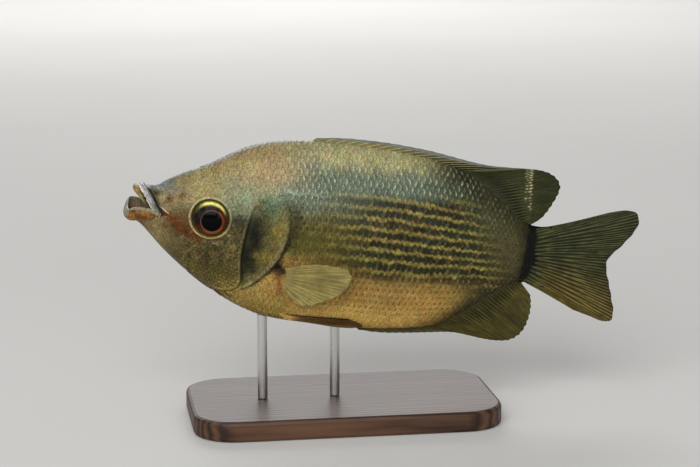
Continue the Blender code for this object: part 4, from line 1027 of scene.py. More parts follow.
def lip_tones(tones, points):
    """The mouth's colours over the body's: painted shade inside and round the lip bar, an orange roll, the
    grey bar and the lower lip.
    """
    x, y, z = points.T
    (bar, _), (roll, _) = lip_curve(LIP_BAR, TONE_POINTS), lip_curve(LIP_ROLL, TONE_POINTS)
    # Painted shade deep inside the mouth
    deep = ramp(x - (SNOUT_TOP[0] + (SNOUT_TOP[1] - z) * 0.76), -0.4, 0.8) * ramp(np.abs(y), 4.2, 3.0)
    deep *= zone(z, -1.5, -0.3, 10.0, 8.0) * (x < 15.5)
    from_roll, _ = line_distance(points, roll)
    from_bar, at = line_distance(points, bar)
    lobe = blend(filled(LIP_ORANGE, x.shape), (LIP_OLIVE, ramp(cloud(z, y, 1.2, 13), 0.3, 0.7)),
                 (LIP_GREY, ramp(z, 9.2, 10.2)),
                 (LIP_EDGE, 0.5 * hump(from_roll, 1.3, 0.12) * ramp(z, 9, 6)))
    between = hump(from_bar - from_roll, 0.35, 0.35) * ramp(from_roll, 2.0, 1.2) * (x < 11)
    off_bar = from_bar - smooth(LIP_BAR_RADIUS)(np.abs(2 * at - 1))
    return blend(tones, (MOUTH_SHADE, deep),
                 (lobe, ramp(from_roll, 2.0, 1.6) * (x < 11)),
                 # Painted shade between the bar and the roll, and in the gap behind the bar
                 (GROOVE_SHADE, 0.8 * between * ramp(z, 9.6, 8.4)),
                 (GROOVE_SHADE, 0.9 * ramp(from_bar, 2.2, 1.7) * ramp(z, 10.2, 8.6) * ramp(x, 4.5, 6.5) * (x < 14)),
                 (bar_tones(points, bar, at), ramp(off_bar, 0.2, 0.08) * (x < 12)),
                 jaw_tones(x, y, z))


def zipped(front, front_turn, back, back_turn):
    """Triangles between two closed loops of point numbers, each with its points' angles."""
    loops = []
    for loop, turn in ((front, front_turn), (back, back_turn)):
        order = np.argsort(turn)
        once_round = turn[order[0]] + 2 * math.pi
        loops.append((np.append(loop[order], loop[order[0]]), np.append(turn[order], once_round)))
    (front, front_turn), (back, back_turn) = loops
    faces, i, j = [], 0, 0
    while i < len(front) - 1 or j < len(back) - 1:
        if j == len(back) - 1 or (i < len(front) - 1 and front_turn[i + 1] <= back_turn[j + 1]):
            faces.append((front[i], front[i + 1], back[j]))
            i += 1
        else:
            faces.append((front[i], back[j + 1], back[j]))
            j += 1
    return np.array(faces)


# Stations of the skin that are moved onto the gill cover's edges: the mouth's end, the cover's front edge,
# both sides of the step at its free edge, and the first station behind it that stays
WARP_STATIONS = (MOUTH_END, 41.0, 50.0, 50.24, 66.0)
# How often a station is set anew for the level that it came to
WARP_ROUNDS = 4


def warped(x, z):
    """Moves the skin's stations so that columns of points follow the gill cover's edges."""
    start, at_front, at_free, _, end = WARP_STATIONS
    upright = ramp(z, 15, 9) * ramp(z, -25, -20)
    front = at_front + (cover_front(z) - at_front) * upright
    free = at_free + (cover_free(z) - at_free) * upright
    knots = (start, front, free - 0.02, free + 0.22, end)
    steps = list(zip(WARP_STATIONS, WARP_STATIONS[1:], knots, knots[1:]))
    inside = [(x >= low) & (x < high) for low, high, _, _ in steps]
    return np.select(inside, [a + (x - low) / (high - low) * (b - a) for low, high, a, b in steps], x)


# How many points the skin has round each of its stations
SKIN_AROUND = 336


def skin_rings():
    """The skin behind the mouth piece as rings of points, and their colours."""
    stations = np.concatenate([np.arange(MOUTH_END + 0.3, 50.0, 0.36), [50.0, 50.08, 50.24, 50.5],
                               np.arange(50.9, 66.0, 0.5), np.arange(66.0, 139.0, 0.9),
                               np.linspace(139.0, BODY_END, 18)])
    nominal = np.repeat(stations[:, None], SKIN_AROUND, 1)
    share = np.arange(SKIN_AROUND)[None] * 2 / SKIN_AROUND
    x = nominal
    for _ in range(WARP_ROUNDS):
        x = warped(nominal, body_point(x, turn_at(x, share))[..., 2])
    angle = turn_at(x, share)
    surface = body_point(x, angle)
    level = surface[..., 2]
    height = relief(x, level) - COAT_DEPTH * scaled_zone(x, level)
    return surface + outward(x, angle) * height[..., None], skin_tones(x, level, row_of(x, angle))


def skin(material):
    """The fish's one skin, from the lips to the root of the tail fin, under the coat of scales."""
    rings, tones = skin_rings()
    front, normals, faces, rim = mouth_piece()
    seen = ramp(front[:, 0], 9, 11)
    front = front + normals * (seen * relief(front[:, 0], front[:, 2]))[:, None]
    front_tones = lip_tones(body_tones(front[:, 0], front[:, 2]), front)
    first_ring = len(front) + np.arange(SKIN_AROUND)
    last_ring = first_ring + (len(rings) - 1) * SKIN_AROUND
    middle = widest_level(MOUTH_END)
    rim_turn, ring_turn = (np.arctan2(loop[:, 1], loop[:, 2] - middle) for loop in (front[rim], rings[0]))
    seam = zipped(rim, rim_turn, first_ring, ring_turn)
    cap = np.stack([last_ring, np.roll(last_ring, -1), np.full(SKIN_AROUND, last_ring[-1] + 1)], -1)
    points = np.concatenate([front, rings.reshape(-1, 3), rings[-1].mean(0, keepdims=True)])
    colours = np.concatenate([front_tones, tones.reshape(-1, 3), tones[-1].mean(0, keepdims=True)])
    groups = [np.array([f for f in faces if len(f) == size]) for size in (3, 4)]
    quads = len(front) + ring_quads(len(rings), SKIN_AROUND)
    body = mesh_object("skin", points, [g for g in groups if len(g)] + [seam, quads, cap], colours)
    faced_out(body.data)
    return finished(body, "skin", material, "head", "trunk", "tail_stalk", "gill_cover_left",
                    "gill_cover_right", "upper_lip", "lower_lip")


def scale_faces():
    """The faces of one scale: its top, its rim and its underside, which has only the rim's points."""
    top, rim = grid_quads(len(SCALE_LENGTHS), len(SCALE_ACROSS))
    under = len(SCALE_LENGTHS) * len(SCALE_ACROSS) + np.arange(len(rim))
    walls = np.stack([rim, under, np.roll(under, -1), np.roll(rim, -1)], -1)
    floor = np.stack([np.full(len(rim) - 2, under[0]), under[2:], under[1:-1]], -1)
    return np.concatenate([top, walls]), floor, rim


def scale_coat(name, side, roots, seed, material):
    """Scales over one side of the body. roots holds arrays: each scale's x, reach up the flank from the
    reference row, length that shows, the step to the next row, and its share of its full size."""
    x, reach, pitch, step, size = (np.asarray(v, float)[:, None] for v in roots)
    luck = np.random.default_rng(seed).random(x.shape)
    quads, triangles, rim = scale_faces()
    share, across = (g.ravel()[None] for g in np.meshgrid(SCALE_LENGTHS, SCALE_ACROSS, indexing="ij"))
    curve = 1 - np.sqrt(1 - 0.92 * across ** 2)
    back = pitch * SCALE_OVERLAP * size * (0.1 * curve * (1 - share) + (1 - 0.5 * curve) * share - 0.5)
    up = step * SCALE_HEIGHT * size * across * (0.84 + 0.16 * np.sin(share * math.pi))
    at_x = np.clip(x + back, BODY_START, BODY_END)
    turn = turn_at(at_x, girth_share(at_x, reach + up))
    surface, normal = (v * (1, side, 1) for v in (body_point(at_x, turn), outward(at_x, turn)))
    level, root_level = surface[..., 2], level_at(x, reach)
    ground = relief(x, root_level)
    base = ground + np.clip(relief(at_x, level) - ground, -0.25, 0.12)
    ridge, along_ridge = near_cheek_line(x, root_level)
    bare = ramp(np.abs(ridge - 4.2), 1.4, 0.8) * zone(along_ridge, 0.0, 0.02, 1.0, 0.98)
    tucked = 0.4 * ramp(np.abs(x - cover_free(root_level) - 1.0), 2.6, 1.4) * ramp(share, 0.62, 0.2)
    tucked = tucked + 0.3 * bare * ramp(share, 0.75, 0.5)
    lift = SCALE_LIFT * (0.4 + 1.2 * luck) * share - SCALE_SLOPE * (1 - share) - tucked
    top = surface + normal * (base + lift - 0.05 * across ** 2)[..., None]
    under = top[:, rim] - normal[:, rim] * (0.13 - 0.08 * share[:, rim])[..., None]
    showing = np.clip((share - 1 + 1 / SCALE_OVERLAP) * SCALE_OVERLAP, 0, 1)
    tones = scale_tones(*np.broadcast_arrays(at_x, level, row_at_reach(reach + up), showing, across, luck))
    points, tones = np.concatenate([top, under], axis=1), np.concatenate([tones, tones[:, rim]], axis=1)
    if side < 0:
        quads, triangles = quads[:, ::-1], triangles[:, ::-1]
    shift = (np.arange(len(x)) * points.shape[1])[:, None, None]
    faces = [(quads + shift).reshape(-1, 4), (triangles + shift).reshape(-1, 3)]
    uv = scale_map(x, reach, share[0], across[0], rim)
    piece = mesh_object(name, points.reshape(-1, 3), faces, tones.reshape(-1, 3), uv.reshape(-1, 2))
    return finished(piece, "skin", material)


# The baked map: its empty edge, the millimetres that it takes along and round the body, and a patch's size
MAP_EDGE, MAP_LENGTH, MAP_GIRTH, MAP_PATCH = 0.04, 150.0, 120.0, 0.003


def scale_map(x, reach, share, across, rim):
    """Each scale's patch of the baked map, small and at the scale's place on the unwrapped skin."""
    patch = np.stack([share - 0.5, across * 0.5], -1)
    unwrap = np.stack([MAP_EDGE + (1 - 2 * MAP_EDGE) * x / MAP_LENGTH, 0.5 + reach / MAP_GIRTH], -1)
    return unwrap + MAP_PATCH * np.concatenate([patch, patch[rim]])


def rooted(keep, x, *others):
    """The scales that are kept, as arrays for scale_coat."""
    return [np.broadcast_to(v, x.shape)[keep] for v in (x, *others)]


def trunk_roots(low_row, high_row):
    """Where the trunk's scales are rooted, row by row, each row half a scale on from the next."""
    places = []
    for row in range(low_row, high_row):
        at = SCALES_START + (row % 2) * 0.5 * scale_pitch(SCALES_START)
        while at < SCALES_END:
            places.append((at, row))
            at += float(scale_pitch(at))
    x, row = np.array(places).T
    reach, step = row_reach(row), (row_reach(row + 0.5) - row_reach(row - 0.5)) * row_closing(x)
    z, share = level_at(x, reach), girth_share(x, reach)
    off_head = (x > cover_free(z) + 1.6) | (z > HEAD_SCALES_HIGH) | (z < HEAD_SCALES_LOW)
    keep = off_head & (share > 0.0) & (share < 1.0) & (scaled_zone(x, z) > 0.4)
    return rooted(keep, x, reach, scale_pitch(x), step, 0.8 + 0.2 * ramp(x, 24, 44))


def head_roots():
    """Where the smaller scales of the cheek and the gill cover are rooted."""
    pitch = HEAD_SCALE_PITCH
    places = [(x + (row % 2) * pitch / 2, row)
              for row in range(-24, 14) for x in np.arange(SCALES_START, 56, pitch)]
    x, row = np.array(places).T
    reach = row * pitch
    z = level_at(x, reach)
    gap, share = near_cheek_line(x, z)
    keep = (x < cover_free(z) - 0.9) & (z <= HEAD_SCALES_HIGH) & (z >= HEAD_SCALES_LOW)
    keep &= (scaled_zone(x, z) > 0.4) & ((gap < -1.4) | (gap > 3.6) | (share < 0.02) | (share > 0.98))
    return rooted(keep, x, reach, pitch, pitch * row_closing(x), 0.95)


def coat(material):
    """Every piece of the coat of scales."""
    for side, name in SIDES.items():
        for number, (part, rows) in enumerate(COAT_PARTS.items()):
            scale_coat(f"scales_{part}_{name}", side, trunk_roots(*rows), 11 + number + 5 * side, material)
        scale_coat(f"scales_head_{name}", side, head_roots(), 40 + side, material)


def fin_grid(roots, edge, shares, per_ray, rows, notch, lean=0.0):
    """Fine (x, z) points over a fin, its rays' running numbers, and the shares of the way out.

    The edge is notched this deep between the rays, and lean bows the rays.
    """
    index = np.arange(len(roots))
    number = np.linspace(0, index[-1], index[-1] * per_ray + 1)
    root = np.stack([np.interp(number, index, c) for c in np.array(roots).T], -1)
    tip = spaced(edge, np.interp(number, index, shares))
    way = tip - root
    length = np.linalg.norm(way, axis=1, keepdims=True)
    dip = np.minimum(notch, 0.3 * length) * np.sin(math.pi * number)[:, None] ** 2
    tip = tip - way / length * dip
    share = np.linspace(0, 1, rows)[None, :, None]
    normal = np.stack([-way[:, 1], way[:, 0]], -1)
    bow = lean * np.linspace(1, -1, len(root))[:, None, None]
    grid = root[:, None] * (1 - share) + tip[:, None] * share + bow * (share * (1 - share)) * normal[:, None]
    return grid, number[:, None], share[..., 0]


def fan(root, edge, rays, **settings):
    """The grid of a fin whose rays are evenly spaced along its root and its edge."""
    return fin_grid(np.linspace(*root, rays), along(edge), np.linspace(0, 1, rays), **settings)


def fin_rays(grid, number, out, spines=0, forks=(0.08, 0.5, 0.8, 1.0), width=0.2):
    """How far each point lies on a ray, 0 to 1: spines are plain, soft rays are jointed and fork twice.

    forks gives the shares of the way out between which each fork opens.
    """
    cell = np.linalg.norm(np.gradient(grid, axis=0), axis=-1) / (number[1] - number[0])
    off = number - np.round(number)
    soft = number > spines - 0.5
    first = soft * 0.25 * ramp(out, *forks[:2])
    second = soft * 0.125 * ramp(out, *forks[2:])
    gap = np.min([np.abs(off - a * first - b * second) for a in (-1, 1) for b in (-1, 1)], axis=0)
    length = np.linalg.norm(grid[:, -1:] - grid[:, :1], axis=-1)
    joint = np.sin(out * length * 2 * math.pi / RAY_JOINT)
    return hump(gap * cell, 0.0, width) * (1 + 0.16 * soft * joint * ramp(out, 0.2, 0.5))


def fin_piece(name, slot, material, grid, y, half, tones):
    """A fin's closed sheet, from its grid's distance across the body and its half thickness there."""
    sheets = [np.stack([grid[..., 0], y + way * half, grid[..., 1]], -1) for way in (-1, 1)]
    near, rim = grid_quads(*grid.shape[:2])
    second, following = np.prod(grid.shape[:2]), np.roll(rim, -1)
    walls = np.stack([following, rim, second + rim, second + following], -1)
    piece = mesh_object(name, np.reshape(sheets, (-1, 3)), [near, second + near[:, ::-1], walls],
                        np.concatenate([tones.reshape(-1, 3)] * 2))
    return finished(piece, slot, material, name)


def fin_half(ray, out, root_thick, root_share, ray_thick=RAY_THICK):
    """Half thicknesses of a fin: a thin membrane, rays that stand out of it, and a fleshy root."""
    blade = MEMBRANE_THICK + (ray_thick - MEMBRANE_THICK) * ray * (1 - 0.55 * out ** 1.5)
    flesh = root_thick * np.clip(1 - out / root_share, 0, 1)
    return np.maximum(blade, flesh + 0.8 * blade) / 2


def share_at(edge, x):
    """How far along an edge line it first reaches x."""
    length, last = lengths(edge), np.argmax(edge[:, 0])
    return np.interp(x, edge[:last + 1, 0], length[:last + 1]) / length[-1]


def fin_tones(ray, out, membrane, light, seed, root, foot=(0.3, 0.05)):
    """A fin's colours: dark membranes, lighter rays, uneven clouding, and the body's colour at its foot."""
    columns, rows = np.meshgrid(np.arange(ray.shape[1]), np.arange(ray.shape[0]))
    on_ray = np.clip(ray, 0, 1) * (0.35 + 0.65 * cloud(rows, columns, 5.0, seed))
    tones = blend(filled(membrane, ray.shape), (light, on_ray))
    tones = tones * (0.75 + 0.5 * cloud(rows * 0.6, columns, 9.0, seed + 50))[..., None]
    return blend(tones, (root, ramp(out, *foot)))


def crest_fin(name, line, side, fin, colours, material):
    """The dorsal or anal fin: folded spines along the body's edge line, then a spread soft part."""
    outline = along(fin["edge"])
    spines, rays = fin["spines"], fin["rays"]
    shortest, longest = fin["spine_lengths"]
    spine_x = np.linspace(*fin["spine_roots"], spines)
    reach = shortest + np.linspace(0, 1, spines) ** 0.5 * (longest - shortest)
    root_x = np.concatenate([spine_x, np.linspace(*fin["ray_roots"], rays)])
    slope = line(root_x + 0.5) - line(root_x - 0.5)
    inward = np.stack([slope, -np.ones(len(root_x))], -1) / np.sqrt(1 + slope ** 2)[:, None]
    roots = np.stack([root_x, line(root_x)], -1) + side * SINK * inward
    ray_shares = np.linspace(share_at(outline, fin["first_ray_tip"]), 1, rays)
    shares = np.concatenate([share_at(outline, spine_x + reach), ray_shares])
    grid, number, out = fin_grid(roots, outline, shares, per_ray=18, rows=44, notch=0.35)
    ray = fin_rays(grid, number, out, spines, forks=(0.0, 0.25, 0.3, 0.55))
    across = number / number[-1]
    height, start, waves = fin["sway"]
    sway = height * np.clip(across - start, 0, 1) * out ** 2 * np.sin(across * waves)
    tones = fin_tones(ray, out, *colours, fin["seed"], FIN_FOOT)
    folded = ramp(number, spines + 1, spines - 2)
    lit = fin["spine_light"] * folded
    tones = blend(tones, (SPINE_GROUND, 0.75 * lit * ramp(number, spines, 2)),
                  (SPINE_PALE_AND_GLINT, 0.85 * lit * ramp(ray, 0.3, 0.8) * ramp(out, 0.1, 0.5)),
                  (FIN_EDGE, 0.85 * lit * ramp(out, 0.74, 0.86)))
    if side > 0:
        tones = bend_tones(tones, grid, number, ray, 1 - folded, fin["seed"])
    half = fin_half(ray, out, root_thick=1.5, root_share=0.35)
    return fin_piece(name, "fin", material, grid, sway, half, tones)


def bend_tones(tones, grid, number, ray, spread, seed):
    """A fin's colours with the fine glints on the rays of its spread part, where it bends."""
    x, z = grid[..., 0], grid[..., 1]
    along_bend = x + 0.1 * z
    jittered = along_bend + 0.3 * np.sin(np.round(number * 2) * 2.4)
    uneven = ramp(cloud(x, z, 1.3, seed), 0.2, 0.7) * ramp(z, 12, 17)
    bend = hump(jittered, FIN_BEND, 0.38) + 0.7 * hump(jittered, FIN_BEND - 1.5, 0.3) * ramp(z, 14, 18)
    on_ray = hump(2 * number - np.round(2 * number), 0.0, 0.24)
    before_bend = hump(along_bend, FIN_BEND - 4, 5.0)
    return blend(tones, (SPINE_GROUND, 0.08 * spread * np.clip(ray, 0, 1) * before_bend),
                 # Painted glints on the rays where the fin bends
                 (SPINE_PALE_AND_GLINT, 0.75 * spread * on_ray * bend * uneven))


def caudal_fin(material):
    """The tail fin, spread and slightly bent to one side."""
    grid, number, out = fan(CAUDAL_ROOT, CAUDAL_EDGE, CAUDAL_RAYS, per_ray=28, rows=84, notch=0.3, lean=-0.03)
    ray = fin_rays(grid, number, out, forks=(0.04, 0.3, 0.4, 0.8))
    across = number / number[-1]
    sway = CAUDAL_BEND * out ** 2 * (0.6 + 0.4 * np.cos(across * math.pi))
    sway += 0.35 * out * np.sin(across * 22.0)
    tones = fin_tones(ray, out, CAUDAL_MEMBRANE, CAUDAL_RAY, 23, TAIL_BAND, (0.1, 0.06))
    warm = tones * linear(CAUDAL_LOW) / linear(CAUDAL_RAY)
    tones = blend(tones, (warm, ramp(across, 0.45, 0.85) * ramp(out, 0.1, 0.4)))
    half = fin_half(ray, out, root_thick=4.2, root_share=0.29)
    half *= 1 - 0.75 * (2 * across - 1) ** 4 * ramp(out, 0.3, 0.0)
    return fin_piece("caudal_fin", "fin", material, grid, sway, half, tones)


def pectoral_fin(side, material):
    """The pectoral fin, swung out from the flank round its root."""
    grid, number, out = fan(PECTORAL_ROOT, PECTORAL_EDGE, PECTORAL_RAYS, per_ray=14, rows=48, notch=0.4,
                            lean=0.1)
    x, z = grid[..., 0], grid[..., 1]
    ray = fin_rays(grid, number + 0.12 * np.sin(number * 2.3), out, forks=(0.3, 0.8, 0.8, 1.0), width=0.13)
    ray = ray * (0.35 + 0.65 * cloud(x, z, 4.0, 31))
    across = number / number[-1]
    swing = np.tan(math.radians(PECTORAL_SPLAY_DEG)) * (x - x[:, :1])
    ripple = 0.25 * out * np.sin(across * 14.0) - 1.2 * out ** 2 * (across - 0.3) ** 2
    y = side * (flank(x[:, :1], z[:, :1]) + 0.45 + swing + ripple - SINK * ramp(out, 0.12, 0.0))
    tones = fin_tones(ray, out, PECTORAL_MEMBRANE, PECTORAL_RAY, 24 + side, PALE_EDGE_AND_HIGHLIGHT, (0.16, 0.0))
    half = fin_half(ray, out, root_thick=1.6, root_share=0.25, ray_thick=0.26)
    return fin_piece(f"pectoral_fin_{SIDES[side]}", "pectoral", material, grid, y, half, tones)


def pelvic_fin(side, material):
    """The pelvic fin, folded back along the lower flank, a little clear of it."""
    grid, number, out = fan(PELVIC_ROOT, PELVIC_EDGE, PELVIC_RAYS, per_ray=12, rows=44, notch=0.3)
    x, z = grid[..., 0], grid[..., 1]
    ray = fin_rays(grid, number, out, spines=1)
    near, far = PELVIC_STAND
    beside = flank(x, np.maximum(z, belly_line(x) + 1.2))
    y = side * (beside + near + (far - near) * out - 1.2 * ramp(out, 0.12, 0.0))
    tones = fin_tones(ray, out, PELVIC_MEMBRANE, PELVIC_RAY, 27 + side, BELLY)
    dark_edge = ramp(number / number[-1], 0.14, 0.04) * ramp(out, 0.05, 0.2)
    tones = blend(tones, (PELVIC_EDGE_TONE, 0.85 * dark_edge))
    half = fin_half(ray, out, root_thick=0.9, root_share=0.3)
    return fin_piece(f"pelvic_fin_{SIDES[side]}", "fin", material, grid, y, half, tones)


def eye(side, material):
    """One eye, a flattened ball set into its orbit."""
    rings, around = 96, 160
    fall, angle = np.linspace(0, 1, rings)[:, None] * math.pi, round_angles(around)
    half_depth = (EYE_BULGE + EYE_DEPTH) / 2
    radius, height = EYE_RADIUS * np.sin(fall), half_depth * np.cos(fall) - (half_depth - EYE_BULGE)
    local = np.stack(np.broadcast_arrays(radius * np.cos(angle), radius * np.sin(angle), height), -1)
    points = moved(local.reshape(-1, 3), eye_matrix(side))
    behind = np.repeat(fall > math.pi / 2, around)
    tones = eye_tones(points[:, 0] - EYE_AT[0], points[:, 2] - EYE_AT[1], behind)
    name = f"eye_{SIDES[side]}"
    piece = mesh_object(name, points, [ring_quads(rings, around)], tones)
    faced_out(piece.data, 1e-7)
    return finished(piece, "eye", material, name)


def eye_tones(out_x, out_z, behind):
    """The eye's colours: a low pupil in a thin ring, a dark and red iris, and a gold crescent."""
    turn = np.arctan2(out_z, out_x)
    upward, backward = np.sin(turn), np.cos(turn)
    distance = np.hypot(out_x, out_z) + 10 * behind
    from_pupil = np.hypot(out_x - PUPIL_OFF[0], out_z - PUPIL_OFF[1]) + 10 * behind
    flecks = 0.5 + 0.25 * np.sin(turn * 31 + 2 * np.sin(turn * 7)) + 0.25 * np.sin(turn * 53 + 1.3)
    gold = ramp(upward + 0.15 * backward, 0.4, 0.95) * (0.6 + 0.5 * cloud(turn * 9, distance * 2, 1.0, 32))
    crescent = hump(distance, 5.1, 0.3 + 0.18 * ramp(upward, 0.6, 1.0))
    ring = 0.5 + 0.5 * ramp(np.abs(upward + 0.2 * backward), 0.1, 0.8)
    return blend(filled(IRIS_RED, turn.shape) * (0.7 + 0.6 * flecks[:, None]),
                 (IRIS_ORANGE, 0.6 * ramp(upward - 0.3 * backward, -0.6, -1.0) * hump(from_pupil, 4.0, 0.45)),
                 (IRIS_ORANGE, 0.25 * ramp(backward, 0.3, 0.9) * hump(from_pupil, 3.9, 0.3)),
                 (IRIS_DARK, ramp(0.75 * upward - 0.75 * backward, -0.1, 0.45) * ramp(distance, 5.5, 5.1)),
                 (EYE_GREEN, ramp(upward, 0.1, 0.6) * ramp(distance, 4.5, 4.9)),
                 (IRIS_GOLD, np.clip(gold, 0, 1) * crescent),
                 (EYE_GREEN, 0.8 * ramp(distance, 5.45, 5.75)),
                 (PUPIL_RING, 0.85 * ring * hump(from_pupil, PUPIL_RADIUS + 0.2, 0.1)),
                 (PUPIL, ramp(from_pupil, PUPIL_RADIUS + 0.1, PUPIL_RADIUS)),
                 # Painted shade where the eye meets its orbit
                 (GROOVE_SHADE, 0.8 * ramp(distance, 5.85, 6.05)))


# The specular level of the painted surfaces
SHEEN = 0.12


def new_material(name):
    """A material, a function that adds a node and gives its output, and one that fills its shader."""
    material = bpy.data.materials.new(name)
    material.use_nodes = True
    tree = material.node_tree

    def fill(node, inputs):
        for key, value in inputs.items():
            if isinstance(value, bpy.types.NodeSocket):
                tree.links.new(value, node.inputs[key])
            else:
                node.inputs[key].default_value = value

    def add(kind, output, inputs, **settings):
        node = tree.nodes.new("ShaderNode" + kind)
        for key, value in settings.items():
            setattr(node, key, value)
        fill(node, inputs)
        return node.outputs[output]

    def shade(inputs):
        fill(tree.nodes["Principled BSDF"], inputs)

    return material, add, shade


def mapped(add, value, source, target):
    """A value with the source range brought to the target range."""
    ends = dict(zip(("From Min", "From Max", "To Min", "To Max"), source + target))
    return add("MapRange", "Result", {"Value": value, **ends})


def two_tone(add, value, low, high, full=1.0):
    """A colour that goes from low to high as the value rises from 0 to full."""
    colour = add("ValToRGB", "Color", {"Fac": value})
    first, last = colour.node.color_ramp.elements
    first.color, last.color = (*low, 1), (*high, 1)
    last.position = full
    return colour


def painted(name, roughness, coat=0.06, metallic=0.0, grain=900.0, bump=0.25, mottle=0.2, speckle=0.0,
            cells=0.0, sheen=SHEEN):
    """A painted surface: the point colours, uneven and speckled in tone and gloss, with a fine grain."""
    material, add, shade = new_material(name)
    place = {"Vector": add("TexCoord", "Object", {})}
    tone = add("Attribute", "Color", {}, attribute_name="Tone")
    lumps = add("TexNoise", "Fac", {**place, "Scale": 260.0, "Detail": 5.0, "Roughness": 0.6})
    specks = add("TexNoise", "Fac", {**place, "Scale": 2000.0, "Detail": 2.0, "Roughness": 0.6})
    factor = add("Math", "Value", {0: mapped(add, lumps, (0.3, 0.7), (1 - mottle, 1 + mottle)),
                                   1: mapped(add, specks, (0.35, 0.65), (1 - speckle, 1 + speckle))},
                 operation="MULTIPLY")
    if bump:
        height = add("TexNoise", "Fac", {**place, "Scale": grain, "Detail": 4.0})
        if cells:
            pores = add("TexVoronoi", "Distance", {**place, "Scale": cells})
            height = add("Math", "Value", {0: height, 1: pores}, operation="ADD")
        raised = {"Height": height, "Strength": bump, "Distance": 0.0002}
        shade({"Normal": add("Bump", "Normal", raised)})
    shade({"Base Color": add("VectorMath", "Vector", {0: tone, "Scale": factor}, operation="SCALE"),
           "Roughness": mapped(add, lumps, (0.3, 0.7), (roughness - 0.08, roughness + 0.1)),
           "Metallic": metallic, "Coat Weight": coat, "Coat Roughness": 0.16, "Specular IOR Level": sheen})
    return material


def wood():
    """Dark polished wood with grain along the base."""
    material, add, shade = new_material("dark_wood")
    place = add("TexCoord", "Object", {})
    stretched = {"Vector": add("Mapping", "Vector", {"Vector": place, "Scale": (9.0, 90.0, 90.0)})}
    warp = add("TexNoise", "Fac", {**stretched, "Scale": 1.6, "Detail": 6.0, "Distortion": 0.6})
    rings = add("TexWave", "Fac", {**stretched, "Scale": 1.5, "Distortion": 7.0, "Detail": 3.0},
                bands_direction="Y")
    grain = add("Math", "Value", {0: warp, 1: rings}, operation="MULTIPLY")
    shade({"Base Color": two_tone(add, grain, (0.022, 0.010, 0.006), (0.115, 0.055, 0.028), 0.7),
           "Normal": add("Bump", "Normal", {"Height": grain, "Strength": 0.25, "Distance": 0.0002}),
           "Roughness": 0.5, "Specular IOR Level": 0.2, "Coat Weight": 0.1, "Coat Roughness": 0.25})
    return material


def steel():
    """Brushed steel, with the brushing round the rods."""
    material, add, shade = new_material("brushed_steel")
    place = add("TexCoord", "Object", {})
    stretched = add("Mapping", "Vector", {"Vector": place, "Scale": (60.0, 60.0, 4000.0)})
    lines = add("TexNoise", "Fac", {"Vector": stretched, "Scale": 1.0, "Detail": 3.0})
    shade({"Roughness": mapped(add, lines, (0.0, 1.0), (0.2, 0.42)),
           "Normal": add("Bump", "Normal", {"Height": lines, "Strength": 0.12, "Distance": 0.0001}),
           "Base Color": (0.6, 0.59, 0.57, 1), "Metallic": 1.0})
    return material


def stand():
    """Better finishes for the stand's solids, which stay as they are."""
    metal = steel()
    for name, material in {"stand_base": wood(), "stand_rod_front": metal, "stand_rod_rear": metal}.items():
        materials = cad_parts[name].data.materials
        materials.clear()
        materials.append(material)


# The studio's lamps: where each one stands, its size and power, and what it points at
FISH_MIDDLE = Vector((-0.01, 0, 0.07))
BEHIND_FISH = Vector((0.0, 2.4, 0.0))
LAMPS = {"key": ((-0.6, -1.56, 1.1), 1.44, 32.0, FISH_MIDDLE),
         "front": ((-1.68, -1.08, 0.45), 0.9, 6.0, FISH_MIDDLE),
         "low": ((0.5, -1.95, 0.42), 0.75, 4.9, FISH_MIDDLE),
         "behind": ((0.15, 2.0, 1.15), 1.44, 25.0, FISH_MIDDLE),
         "backdrop": ((0.0, 2.0, 1.4), 1.8, 3.5, BEHIND_FISH)}


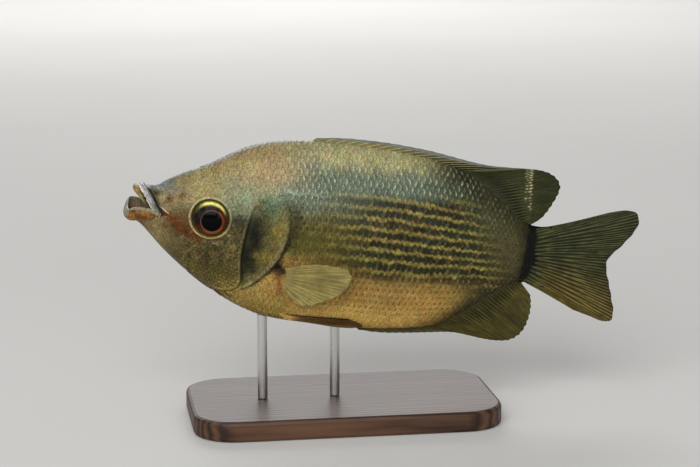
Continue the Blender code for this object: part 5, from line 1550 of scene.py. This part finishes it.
def studio():
    """A plain pale floor and soft light from above, the front and the sides."""
    bpy.ops.mesh.primitive_circle_add(vertices=96, radius=3.0, fill_type="NGON")
    floor = bpy.context.object
    floor.name = "floor"
    material, add, shade = new_material("pale_floor")
    noise = add("TexNoise", "Fac", {"Vector": add("TexCoord", "Object", {}), "Scale": 3.0})
    shade({"Base Color": two_tone(add, noise, (0.62, 0.61, 0.59), (0.68, 0.67, 0.65)),
           "Roughness": 0.8, "Specular IOR Level": 0.0})
    floor.data.materials.append(material)
    world = bpy.data.worlds.new("studio")
    bpy.context.scene.world = world
    world.use_nodes = True
    background = world.node_tree.nodes["Background"].inputs
    background["Color"].default_value = (0.86, 0.87, 0.88, 1)
    background["Strength"].default_value = 0.3
    for name, (place, size, power, aim) in LAMPS.items():
        light = bpy.data.lights.new(name, "AREA")
        light.size, light.energy = size, power
        lamp = new_object(name, light)
        lamp.location = place
        lamp.rotation_euler = (aim - Vector(place)).to_track_quat("-Z", "Y").to_euler()


# The camera's angles, its distance in metres, and the point of the level fish at the picture's middle
CAMERA_AZIMUTH_DEG, CAMERA_ELEVATION_DEG = -9.0, 11.0
CAMERA_DISTANCE = 0.66597
CAMERA_AIM = (77.44, 0, 0)


def camera():
    """The camera, at the photograph's angle and framing."""
    azimuth, elevation = math.radians(CAMERA_AZIMUTH_DEG), math.radians(CAMERA_ELEVATION_DEG)
    back = Vector((math.sin(azimuth) * math.cos(elevation), -math.cos(azimuth) * math.cos(elevation),
                   math.sin(elevation)))
    data = bpy.data.cameras.new("camera")
    data.lens = 100
    obj = new_object("camera", data)
    obj.location = PLACE @ Vector(CAMERA_AIM) + back * CAMERA_DISTANCE
    obj.rotation_euler = back.to_track_quat("Z", "Y").to_euler()
    bpy.context.scene.camera = obj
    bpy.context.scene.view_settings.view_transform = "Standard"


camera()
studio()
stand()
skin(painted("fish_skin", 0.4, grain=1400.0, bump=0.3, speckle=0.4, cells=1500.0))
coat(painted("fish_scales", 0.42, metallic=0.08, grain=2600.0, bump=0.15, mottle=0.12, speckle=0.36))
fin_material = painted("fin_skin", 0.45, grain=1600.0, bump=0.2, speckle=0.15)
crest_fin("dorsal_fin", back_line, 1, DORSAL, (FIN_MEMBRANE, FIN_RAY), fin_material)
crest_fin("anal_fin", belly_line, -1, ANAL, (ANAL_MEMBRANE, ANAL_RAY), fin_material)
caudal_fin(fin_material)
eye_material = painted("eye_surface", 0.12, coat=0.04, bump=0.0, mottle=0.05, sheen=0.04)
pectoral_material = painted("pectoral_skin", 0.45, grain=1600.0, bump=0.1, speckle=0.1)
for side in SIDES:
    pectoral_fin(side, pectoral_material)
    pelvic_fin(side, fin_material)
    eye(side, eye_material)
